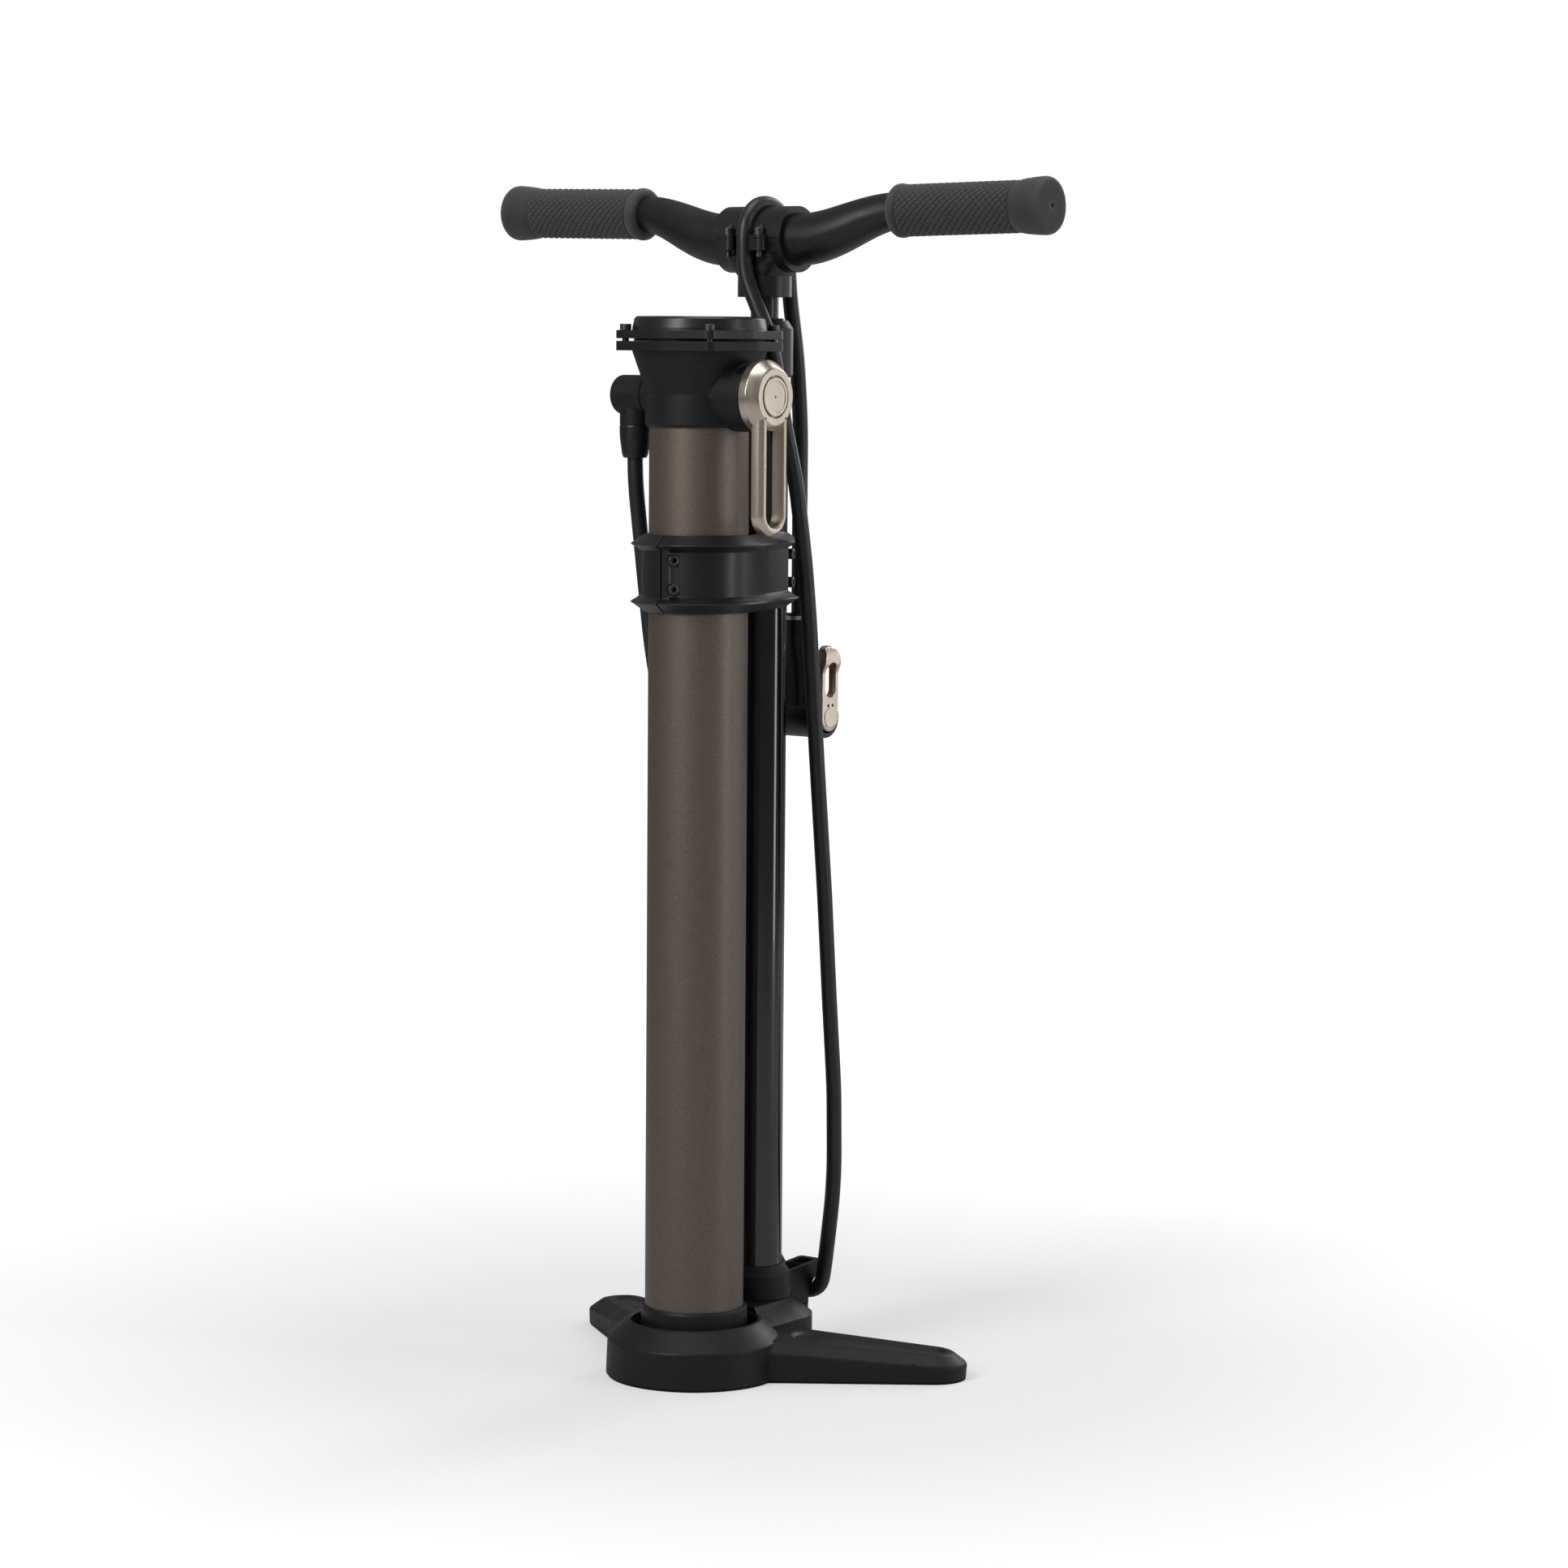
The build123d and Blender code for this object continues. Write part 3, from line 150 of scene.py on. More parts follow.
# ------------------------------------------------------------------ materials
def textured_plastic(name, base, rough, grain, bump, specular, wear, lighter=1.5):
    """Grained plastic or rubber with broad lighter patches and rubbed edges."""
    g = Graph(name)
    wear_mask, round_normal = g.edge_wear(radius=0.0007)
    fine = g.noise(scale=grain, detail=3.0, rough=0.6)
    cells = g.voronoi(scale=grain * 0.8, output="Distance")
    broad = g.noise(scale=14, detail=3.0, rough=0.55)
    colour = g.mix(g.ramp(fine, span=(0.3, 0.75)), shade(base, 0.72), shade(base, 1.28))
    patches = g.ramp(broad, span=(0.35, 0.7), to=(0.0, 0.22))
    colour = g.mix(patches, colour, shade(base, lighter))
    colour = g.mix(g.math("MULTIPLY", wear_mask, wear), colour, shade(base, 2.6))
    sheen = g.noise(scale=60, detail=4.0, rough=0.6)
    g.surface(
        Base_Color=colour,
        Roughness=g.ramp(sheen, span=(0.3, 0.75), to=(rough - 0.07, rough + 0.09)),
        Specular_IOR_Level=specular,
    )
    height = g.math("ADD", g.math("MULTIPLY", fine, 0.7), g.math("MULTIPLY", cells, 0.5))
    g.bump(height, strength=bump, distance=0.00025, normal=round_normal)
    return g.material


def painted_metal(name, base, rough, metallic, coat, coat_rough, grain, bump, wear, dust):
    """Smooth black paint with rubbed edges and dusty smears drawn out along Z."""
    g = Graph(name)
    wear_mask, round_normal = g.edge_wear(radius=0.0005)
    fine = g.noise(scale=grain)
    colour = g.mottle(fine, shade(base, 0.85), shade(base, 1.15))
    worn = shade(base, 2.4, lift=0.01)
    colour = g.mix(g.math("MULTIPLY", wear_mask, wear), colour, worn)
    smear = g.noise(scale=9, detail=4.0, rough=0.6, z_scale=0.25)
    dust_mask = g.ramp(smear, span=(0.52, 0.8), to=(0.0, dust))
    colour = g.mix(dust_mask, colour, (0.18, 0.175, 0.17))
    sheen = g.noise(scale=45, detail=5.0, rough=0.62, z_scale=0.3)
    g.surface(
        Base_Color=colour,
        Roughness=g.ramp(sheen, span=(0.3, 0.75), to=(rough - 0.05, rough + 0.08)),
        Metallic=metallic,
        Coat_Weight=coat,
        Coat_Roughness=coat_rough,
    )
    g.bump(fine, strength=bump, normal=round_normal)
    return g.material


def bronze_paint():
    """Metallic bronze-brown: flakes under a satin clear coat."""
    g = Graph("bronze paint")
    flakes = g.add("SeparateXYZ", Vector=g.voronoi(scale=3200, output="Color")).outputs
    tint, sparkle, gloss = flakes[0], flakes[1], flakes[2]
    fine = g.noise(scale=2600, detail=1.0)
    base = (0.176, 0.146, 0.122)
    colour = g.mix(g.ramp(tint, span=(0.0, 1.0)), shade(base, 0.78), shade(base, 1.25))
    bright = g.ramp(sparkle, span=(0.92, 0.98), to=(0.0, 0.4))
    colour = g.mix(bright, colour, (0.33, 0.275, 0.235))
    clouds = g.noise(scale=6, detail=3.0, z_scale=0.2)
    dark = g.ramp(clouds, span=(0.4, 0.75), to=(0.0, 0.10))
    g.surface(
        Base_Color=g.mix(dark, colour, (0.066, 0.055, 0.047)),
        Roughness=g.ramp(gloss, span=(0.0, 1.0), to=(0.42, 0.6)),
        Metallic=0.85,
        Coat_Weight=0.12,
        Coat_Roughness=0.3,
    )
    g.bump(g.math("ADD", sparkle, fine), strength=0.10)
    return g.material


def champagne_anodised():
    """Finely blasted champagne aluminium, bright on its edges."""
    g = Graph("champagne anodised")
    wear_mask, round_normal = g.edge_wear(radius=0.0006)
    fine = g.noise(scale=2600, rough=0.6)
    strokes = g.noise(scale=220, detail=3.0, rough=0.6, z_scale=0.06)
    colour = g.mottle(fine, (0.60, 0.525, 0.44), (0.72, 0.64, 0.545))
    g.surface(
        Base_Color=g.mix(g.math("MULTIPLY", wear_mask, 0.55), colour, (0.93, 0.85, 0.74)),
        Roughness=g.ramp(strokes, span=(0.3, 0.7), to=(0.24, 0.34)),
        Metallic=1.0,
    )
    g.bump(fine, strength=0.12, distance=0.00012, normal=round_normal)
    return g.material


def bare_metal(name, base, rough):
    """Metal with a fine grain drawn out along Z and brighter edges."""
    g = Graph(name)
    wear_mask, round_normal = g.edge_wear(radius=0.0004)
    fine = g.noise(scale=900, detail=3.0, rough=0.6, z_scale=0.12)
    colour = g.mottle(fine, shade(base, 0.8), shade(base, 1.15))
    colour = g.mix(g.math("MULTIPLY", wear_mask, 0.5), colour, shade(base, 1.8))
    sheen = g.noise(scale=160, detail=3.0)
    g.surface(
        Base_Color=colour,
        Roughness=g.ramp(sheen, span=(0.3, 0.7), to=(rough - 0.05, rough + 0.1)),
        Metallic=1.0,
    )
    g.bump(fine, strength=0.12, normal=round_normal)
    return g.material


def hose_rubber():
    """Smooth rubber with a faint skin grain and a bluish bloom."""
    g = Graph("hose rubber")
    fine = g.noise(scale=1100, detail=3.0, rough=0.6)
    bloom = g.ramp(g.noise(scale=22, detail=4.0, rough=0.6, z_scale=0.15), span=(0.35, 0.75))
    g.surface(
        Base_Color=g.mix(bloom, (0.006, 0.0072, 0.009), (0.012, 0.0142, 0.0175)),
        Roughness=g.ramp(g.noise(scale=120, detail=3.0), span=(0.3, 0.75), to=(0.34, 0.5)),
        Specular_IOR_Level=0.55,
        Sheen_Weight=0.12,
        Sheen_Roughness=0.4,
    )
    g.bump(fine, strength=0.12, distance=0.00015)
    return g.material


def grip_rubber():
    """Dusty dark grey rubber, with a painted highlight on the crowns of the knurl and painted
    shade in its grooves.
    """
    g = Graph("grip rubber")
    pointiness = g.add("NewGeometry").outputs["Pointiness"]
    # painted highlight on the knurl crowns and painted shade in the grooves, taken from pointiness
    crown_highlight_groove_shade = g.ramp(pointiness, span=(0.485, 0.535))
    fine = g.noise(scale=1800, detail=3.0, rough=0.6)
    colour = g.mix(crown_highlight_groove_shade, (0.0045, 0.0045, 0.0047), (0.058, 0.057, 0.056))
    dust = g.ramp(fine, span=(0.35, 0.75), to=(0.0, 0.16))
    g.surface(
        Base_Color=g.mix(dust, colour, (0.048, 0.047, 0.046)),
        Roughness=g.ramp(fine, span=(0.3, 0.7), to=(0.62, 0.82)),
        Specular_IOR_Level=0.32,
        Sheen_Weight=0.2,
        Sheen_Roughness=0.6,
    )
    g.bump(fine, strength=0.25, distance=0.0002)
    return g.material


def clear_lens():
    g = Graph("clear lens")
    g.surface(
        Roughness=g.ramp(g.noise(scale=30, detail=3.0), span=(0.3, 0.8), to=(0.01, 0.06)),
        Base_Color=(0.97, 0.98, 0.98, 1),
        Transmission_Weight=1.0,
        IOR=1.47,
    )
    return g.material


def dial_face():
    g = Graph("dial face")
    fine = g.noise(scale=600)
    colour = g.mottle(fine, (0.80, 0.80, 0.78), (0.88, 0.88, 0.86))
    g.surface(Base_Color=colour, Roughness=0.5)
    g.bump(fine, strength=0.05)
    return g.material


def coloured_plastic(name, base):
    g = Graph(name)
    fine = g.noise(scale=900)
    g.surface(
        Base_Color=g.mottle(fine, shade(base, 0.8), shade(base, 1.15)),
        Roughness=g.ramp(g.noise(scale=80, detail=3.0), span=(0.3, 0.7), to=(0.26, 0.42)),
    )
    g.bump(fine, strength=0.08)
    return g.material


def dial_ink():
    g = Graph("dial ink")
    colour = g.mottle(g.noise(scale=900), (0.02, 0.02, 0.02), (0.035, 0.035, 0.035))
    g.surface(Base_Color=colour, Roughness=0.6)
    return g.material


def make_materials():
    return {
        "housing_black": textured_plastic(
            "housing black", base=(0.0098, 0.0104, 0.0115), rough=0.47,
            grain=1500, bump=0.3, specular=0.28, wear=0.45,
        ),
        "satin_black": painted_metal(
            "satin black", base=(0.0062, 0.0066, 0.0073), rough=0.36, metallic=0.0,
            coat=0.05, coat_rough=0.25, grain=1400, bump=0.10, wear=0.5, dust=0.015,
        ),
        "gloss_black": painted_metal(
            "gloss black", base=(0.003, 0.003, 0.0032), rough=0.16, metallic=0.0,
            coat=0.85, coat_rough=0.035, grain=900, bump=0.02, wear=0.2, dust=0.012,
        ),
        "rod_black": painted_metal(
            "rod black", base=(0.010, 0.010, 0.0105), rough=0.3, metallic=0.3,
            coat=0.2, coat_rough=0.12, grain=900, bump=0.05, wear=0.3, dust=0.02,
        ),
        "bronze_paint": bronze_paint(),
        "champagne": champagne_anodised(),
        "plain_aluminium": bare_metal("plain aluminium", base=(0.62, 0.62, 0.64), rough=0.3),
        "bolt_bronze": bare_metal("bronze plated bolts", base=(0.115, 0.1, 0.09), rough=0.36),
        "screw_steel": bare_metal("zinc plated screws", base=(0.5, 0.5, 0.52), rough=0.32),
        "spring_steel": bare_metal("spring wire", base=(0.55, 0.55, 0.57), rough=0.28),
        "brass_part": bare_metal("machined brass", base=(0.66, 0.46, 0.2), rough=0.26),
        "hose_rubber": hose_rubber(),
        "rubber_black": textured_plastic(
            "plain rubber", base=(0.010, 0.010, 0.0105), rough=0.72,
            grain=1100, bump=0.25, specular=0.3, wear=0.2, lighter=1.3,
        ),
        "grip_rubber": grip_rubber(),
        "clear_lens": clear_lens(),
        "dial_white": dial_face(),
        "needle_red": coloured_plastic("needle red", base=(0.6, 0.03, 0.02)),
        "button_red": coloured_plastic("button red", base=(0.42, 0.018, 0.014)),
        "dial_ink": dial_ink(),
    }


MATERIALS = make_materials()

slot_of_node = {part["node"]: part["material_slot"] for part in frame["record"]["subparts"]}
for node_name, part_object in frame["nodes"].items():
    part_object.data.materials.clear()
    part_object.data.materials.append(MATERIALS[slot_of_node[node_name]])


# ------------------------------------------------------------------ mesh tools
def build_mesh(name, verts, faces, material, body=None, slot=None, replaces=None,
               smooth=True, angle=35):
    """Object from points in mm; edges sharper than the angle (degrees) stay hard."""
    mesh = bpy.data.meshes.new(name)
    mesh.from_pydata([tuple(c * MM for c in point) for point in verts], [], faces)
    mesh.validate()
    bm = bmesh.new()
    bm.from_mesh(mesh)
    bmesh.ops.remove_doubles(bm, verts=bm.verts, dist=1e-7)
    bmesh.ops.recalc_face_normals(bm, faces=bm.faces)
    if smooth:
        for face in bm.faces:
            face.smooth = True
        limit = math.radians(angle)
        for edge in bm.edges:
            edge.smooth = not (len(edge.link_faces) == 2 and edge.calc_face_angle(0.0) > limit)
    bm.to_mesh(mesh)
    bm.free()
    obj = bpy.data.objects.new(name, mesh)
    bpy.context.scene.collection.objects.link(obj)
    mesh.materials.append(MATERIALS[material])
    if body:
        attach(obj, body)
    if replaces:
        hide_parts(replaces)
    return obj


def smoothstep(value, start, end):
    share = min(1.0, max(0.0, (value - start) / (end - start)))
    return share * share * (3 - 2 * share)


def grid_faces(rows, columns, close_rows=False, close_columns=True):
    """Quads between neighbours in a grid of vertices numbered row by row."""
    faces = []
    for i in range(rows if close_rows else rows - 1):
        this_row = i * columns
        next_row = (i + 1) % rows * columns
        for k in range(columns if close_columns else columns - 1):
            k2 = (k + 1) % columns
            faces.append((this_row + k, this_row + k2, next_row + k2, next_row + k))
    return faces


def cap(row, columns):
    return tuple(row * columns + k for k in range(columns))


def sides_of(axis):
    """Two directions square to a unit axis and to each other."""
    side = axis.orthogonal().normalized()
    return side, axis.cross(side)


def rim_point(centre, sides, radius, angle):
    return (
        centre + sides[0] * (radius * math.cos(angle)) + sides[1] * (radius * math.sin(angle))
    )


def ring(centre, sides, radius, segments):
    return [
        rim_point(centre, sides, radius, 2 * math.pi * k / segments) for k in range(segments)
    ]


def frames_along(points):
    """The two cross directions at each point of a polyline, carried along without twist."""
    last = len(points) - 1
    tangents = [
        (points[min(i + 1, last)] - points[max(i - 1, 0)]).normalized()
        for i in range(len(points))
    ]
    side = tangents[0].orthogonal().normalized()
    frames = []
    for tangent in tangents:
        side = (side - tangent * side.dot(tangent)).normalized()
        frames.append((side, tangent.cross(side).normalized()))
    return frames


def sweep(name, points, frames, radius, segments, material, start_cap=True, end_cap=True, **kw):
    """Round tube along a polyline."""
    verts = []
    for point, sides in zip(points, frames):
        verts += ring(point, sides, radius, segments)
    faces = grid_faces(len(points), segments)
    if start_cap:
        faces.append(cap(0, segments)[::-1])
    if end_cap:
        faces.append(cap(len(points) - 1, segments))
    return build_mesh(name, verts, faces, material, **kw)


def lathe(name, profile, origin, axis, material, segments=128, **kw):
    """Profile of (radius, distance along the axis) turned about a unit axis."""
    origin, axis = Vector(origin), Vector(axis)
    sides = sides_of(axis)
    verts, faces, rings = [], [], []
    for radius, along in profile:
        centre = origin + axis * along
        points = ring(centre, sides, radius, segments) if radius > 0 else [centre]
        rings.append(range(len(verts), len(verts) + len(points)))
        verts += points
    for lower, upper in zip(rings, rings[1:]):
        for k in range(segments):
            k2 = (k + 1) % segments
            if len(lower) == 1:
                faces.append((lower[0], upper[k2], upper[k]))
            elif len(upper) == 1:
                faces.append((lower[k], lower[k2], upper[0]))
            else:
                faces.append((lower[k], lower[k2], upper[k2], upper[k]))
    return build_mesh(name, verts, faces, material, **kw)


# ------------------------------------------------------------------ hose
HOSE_RADIUS = 4.75
HOSE_SEGMENTS = 44
SADDLE = 21.8  # half width of the arch over the handle, and its rise above SADDLE_BASE_Z
SADDLE_BASE_Z = 690.0
PATH_STEP = 2.2
MAX_BEND_RADIUS = 400.0
BEND_SHARE = 0.47  # share of the shorter neighbouring run that a bend may take up

# corners (x, y, z) from the elbow, round the low hook, over the handle, to the pump head
HOSE_CORNERS = [
    (-49.0, CHAMBER_Y, 572.9), (-49.0, CHAMBER_Y, 545.0), (-45.5, -50.0, 430.0),
    (-38.0, -26.0, 340.0), (-30.0, 0.0, 250.0), (-24.5, 20.0, 150.0), (-22.0, 36.0, 66.0),
    (-11.5, 51.2, 32.4), (11.5, 51.2, 32.4), (23.0, 41.0, 62.0), (30.0, 39.0, 107.0),
    (33.0, 33.6, 167.0), (33.0, 27.5, 228.0), (33.0, 22.0, 289.0), (32.0, 14.4, 370.0),
    (30.0, 7.7, 460.0), (29.6, 4.1, 490.0), (29.2, 0.6, 512.0), (26.8, -2.2, 541.0),
    (24.6, -5.0, 559.0), (22.5, -9.5, 579.0), (21.0, -17.0, 615.0), (17.0, -19.6, 634.0),
    (9.0, -21.4, 652.0), (1.5, -22.4, 668.0), (0.0, -SADDLE, SADDLE_BASE_Z + SADDLE),
    (0.0, SADDLE, SADDLE_BASE_Z + SADDLE), (0.5, 24.0, 658.0), (1.2, 32.0, 620.0),
    (1.4, 36.0, 575.0), (0.0, 37.6, 505.0), (0.0, 37.6, 445.4),
]


def extend_straight(path, target):
    start = path[-1]
    count = max(1, int((target - start).length / PATH_STEP))
    path += [start.lerp(target, i / count) for i in range(1, count + 1)]


def rounded_path(corners):
    """Straight runs joined by bends, sampled every few mm."""
    corners = [Vector(corner) for corner in corners]
    path = [corners[0]]
    for before, corner, after in zip(corners, corners[1:], corners[2:]):
        arriving, leaving = corner - before, after - corner
        half = arriving.angle(leaving) / 2
        room = BEND_SHARE * min(arriving.length, leaving.length)
        radius = min(MAX_BEND_RADIUS, room * math.cos(half) / max(math.sin(half), 1e-3))
        setback = radius * math.tan(half)
        start = corner - arriving.normalized() * setback
        end = corner + leaving.normalized() * setback
        extend_straight(path, start)
        count = max(2, int(2 * half * radius / PATH_STEP))
        for i in range(1, count + 1):
            # rational quadratic Bezier; this middle weight makes it a circular arc
            u = i / count
            first = (1 - u) ** 2
            middle = 2 * u * (1 - u) * max(math.cos(half), 0.2)
            last = u**2
            path.append((start * first + corner * middle + end * last) / (first + middle + last))
    extend_straight(path, corners[-1])
    return path


def soften(path, passes=6):
    """Take the last hardness out of the joins between bends; the ends stay put."""
    for _ in range(passes):
        inner = [
            (path[i - 1] + path[i] * 2 + path[i + 1]) / 4 for i in range(2, len(path) - 2)
        ]
        path = path[:2] + inner + path[-2:]
    return path


def hose():
    """The hose in five pieces; the piece round the hook is attached to the pump body, the others
    stay in world space.
    """
    path = soften(rounded_path(HOSE_CORNERS))
    frames = frames_along(path)

    def first_index(test, start=0):
        return next(i for i in range(start, len(path)) if test(path[i]))

    low_left = first_index(lambda p: p.z < 250)
    hook = first_index(lambda p: p.x > 0, low_left)
    arch = first_index(lambda p: p.z > 705 and p.y > 0, hook)
    middle = first_index(lambda p: p.z < 560, arch)
    end = len(path) - 1
    # name, first and last path index, bodies at the two ends, where the blend starts and ends
    pieces = (
        ("hose_from_elbow", 0, low_left, ("elbow", "pump_body"),
         (-49, CHAMBER_Y, 556), (-31, -4, 262)),
        ("hose_round_hook", low_left, hook, ("pump_body",), None, None),
        ("hose_up_to_handle", hook, arch, ("pump_body", "handle"),
         (25, 30, 90), (5, -22, 648)),
        ("hose_behind_barrel", arch, middle, ("handle", "pump_body"),
         (0, 24, 664), (0, 36, 562)),
        ("hose_to_head", middle, end, ("pump_body", "pump_head"),
         (0, 36, 556), (0, 37.6, 512)),
    )
    for name, first, last, bodies, blend_start, blend_end in pieces:
        piece = sweep(
            name, path[first:last + 1], frames[first:last + 1], HOSE_RADIUS, HOSE_SEGMENTS,
            "hose_rubber", start_cap=first == 0, end_cap=last == end, angle=60,
        )
        if len(bodies) == 2:
            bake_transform(piece)
        else:
            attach(piece, *bodies)
        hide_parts("hose")


hose()


# ------------------------------------------------------------------ grips
KNURL_CELLS_ROUND = 42
KNURL_PITCH = 2.31
KNURL_STEPS = 8  # mesh steps per cell, both round and along
KNURL_START, KNURL_STOP = 7.4, 86.4
KNURL_FADE = 0.9  # length over which the ridges rise at either end
KNURL_FLOOR, KNURL_HEIGHT = 14.88, 0.66
KNURL_SLOPE = 2.6  # how steeply a ridge rises to its flat crown
GRIP_SEGMENTS = KNURL_CELLS_ROUND * KNURL_STEPS

# (radius, distance along the grip): bead at the handle end, then the flared outer end
GRIP_COLLAR = [
    (11.2, 0.0), (13.6, 0.0), (14.3, 0.3), (15.2, 1.0), (15.9, 2.0), (16.15, 3.2),
    (16.15, 4.4), (15.9, 5.4), (15.45, 6.3), (15.1, 6.9), (15.0, 7.3),
]
GRIP_END = [
    (15.0, 86.6), (15.1, 87.2), (15.5, 88.4), (15.95, 90.2), (16.35, 93.0), (16.75, 97.0),
    (17.05, 101.0), (17.2, 104.0), (17.1, 105.6), (16.7, 106.9), (16.0, 107.9),
    (15.0, 108.4), (13.6, 108.6), (9.0, 108.6), (4.0, 108.6), (1.6, 108.6),
    (1.25, 108.4), (1.2, 107.2), (1.2, 104.8),
]


def knurl_radius(k, along):
    """Radius of the diamond knurl: two crossing sets of grooves."""
    cells_round = k / KNURL_STEPS
    cells_along = (along - KNURL_START) / KNURL_PITCH
    rising = abs(((cells_round + cells_along) * 0.5) % 1.0 - 0.5) * 2
    falling = abs(((cells_round - cells_along) * 0.5) % 1.0 - 0.5) * 2
    ridge = min(1.0, min(rising, falling) * KNURL_SLOPE)
    fade = min(1.0, (along - KNURL_START) / KNURL_FADE, (KNURL_STOP - along) / KNURL_FADE)
    return KNURL_FLOOR + KNURL_HEIGHT * ridge * max(0.0, fade)


def grip(side, hand):
    origin = Vector((95.0 * side, 5.0, 706.4))
    axis = Vector((108.5 * side, 2.3, 2.0)).normalized()
    up = Vector((0, 0, 1))
    up = (up - axis * up.dot(axis)).normalized()
    sides = (up, axis.cross(up))

    length = KNURL_STOP - KNURL_START
    count = int(length / (KNURL_PITCH / KNURL_STEPS))
    rings = [(along, [radius] * GRIP_SEGMENTS) for radius, along in GRIP_COLLAR]
    for i in range(count + 1):
        along = KNURL_START + length * i / count
        rings.append((along, [knurl_radius(k, along) for k in range(GRIP_SEGMENTS)]))
    rings += [(along, [radius] * GRIP_SEGMENTS) for radius, along in GRIP_END]

    verts = []
    for along, radii in rings:
        centre = origin + axis * along
        for k, radius in enumerate(radii):
            verts.append(rim_point(centre, sides, radius, 2 * math.pi * k / GRIP_SEGMENTS))
    faces = grid_faces(len(rings), GRIP_SEGMENTS)
    faces.append(cap(len(rings) - 1, GRIP_SEGMENTS))
    build_mesh(
        f"grip_knurled_{hand}", verts, faces, "grip_rubber",
        body="handle", slot="grip_rubber", replaces=f"grip_{hand}", angle=50,
    )


grip(1, "right")
grip(-1, "left")

# ------------------------------------------------------------------ band clamp
CLAMP_BOTTOM, CLAMP_TOP = 466.5, 513.0
CLAMP_MIDDLE = (CLAMP_BOTTOM + CLAMP_TOP) / 2
SPLIT_HALF_GAP = 0.42
MIN_THICKNESS = 0.5
OUTLINE_ANGLES = 720
OUTLINE_STEP = 0.9

# circles the outline is drawn round: centre (x, y), radius, depth of the band there
CLAMP_CIRCLES = [
    ((0.0, CHAMBER_Y), 37.0, 7.6), ((0.0, CHAMBER_Y - 27.6), 9.6, 7.6),
    ((0.0, 0.0), 18.4, 4.2), ((0.0, 14.0), 8.5, 4.2),
]
# heights of the mesh rows above the bottom edge; mirrored for the upper half
CLAMP_ROWS = [
    0, 0.25, 0.6, 1.2, 2, 3, 4, 5, 5.6, 5.9, 6.15, 6.5, 7.0, 7.6, 8.2, 8.8, 9.4, 9.9, 10.4,
    11.0, 11.6, 12.3, 13, 14, 15, 16, 17, 18, 19, 20, 21.5, 23.25,
]
# the section, as offsets from the outline
FLANGE_EDGE, FLANGE_CREST = -4.4, 3.8
FLANGE_RISE, FLANGE_FLAT_END = 5.7, 6.1  # distances from the upper or lower edge
WAIST_DROP = 4.4
PANEL_OFFSET = -2.7  # the recessed panel between the rims


def clamp_outline():
    """Half outline (x >= 0), front to rear: points, outward normals and band depth."""
    tangent_points = []
    for i in range(OUTLINE_ANGLES + 1):
        angle = -math.pi / 2 + math.pi * i / OUTLINE_ANGLES
        normal = Vector((math.cos(angle), math.sin(angle)))
        centre, radius, depth = max(
            CLAMP_CIRCLES, key=lambda c: c[0][0] * normal.x + c[0][1] * normal.y + c[1]
        )
        tangent_points.append((Vector(centre) + normal * radius, normal, depth))
    # fill the straight runs between tangent points
    outline = [tangent_points[0]]
    for point, normal, depth in tangent_points[1:]:
        last_point, last_normal, last_depth = outline[-1]
        count = max(1, int((point - last_point).length / OUTLINE_STEP))
        for j in range(1, count + 1):
            share = j / count
            outline.append((
                last_point.lerp(point, share),
                last_normal.lerp(normal, share).normalized(),
                last_depth * (1 - share) + depth * share,
            ))
    return outline


def clamp_offset(to_edge, to_front, to_rear, depth):
    """Offset of the outer face, from the distances to the rim edge and to both splits."""
    if to_edge < FLANGE_RISE:
        offset = FLANGE_EDGE + (FLANGE_CREST - FLANGE_EDGE) * (to_edge / FLANGE_RISE)
    elif to_edge < FLANGE_FLAT_END:
        offset = FLANGE_CREST
    else:
        waist = FLANGE_CREST - WAIST_DROP * smoothstep(to_edge, 5.6, 9.2)
        # ribs beside the splits and rims above and below frame the recessed panel
        rib = max(1.0 - smoothstep(to_front, 5.2, 6.6), 1.0 - smoothstep(to_rear, 4.0, 5.2))
        rim = 1.0 - smoothstep(to_edge, 8.8, 10.0)
        raised = 1.0 - (1.0 - rib) * (1.0 - rim)
        offset = waist * raised + min(waist, PANEL_OFFSET) * (1.0 - raised)
    return max(offset, MIN_THICKNESS - depth)


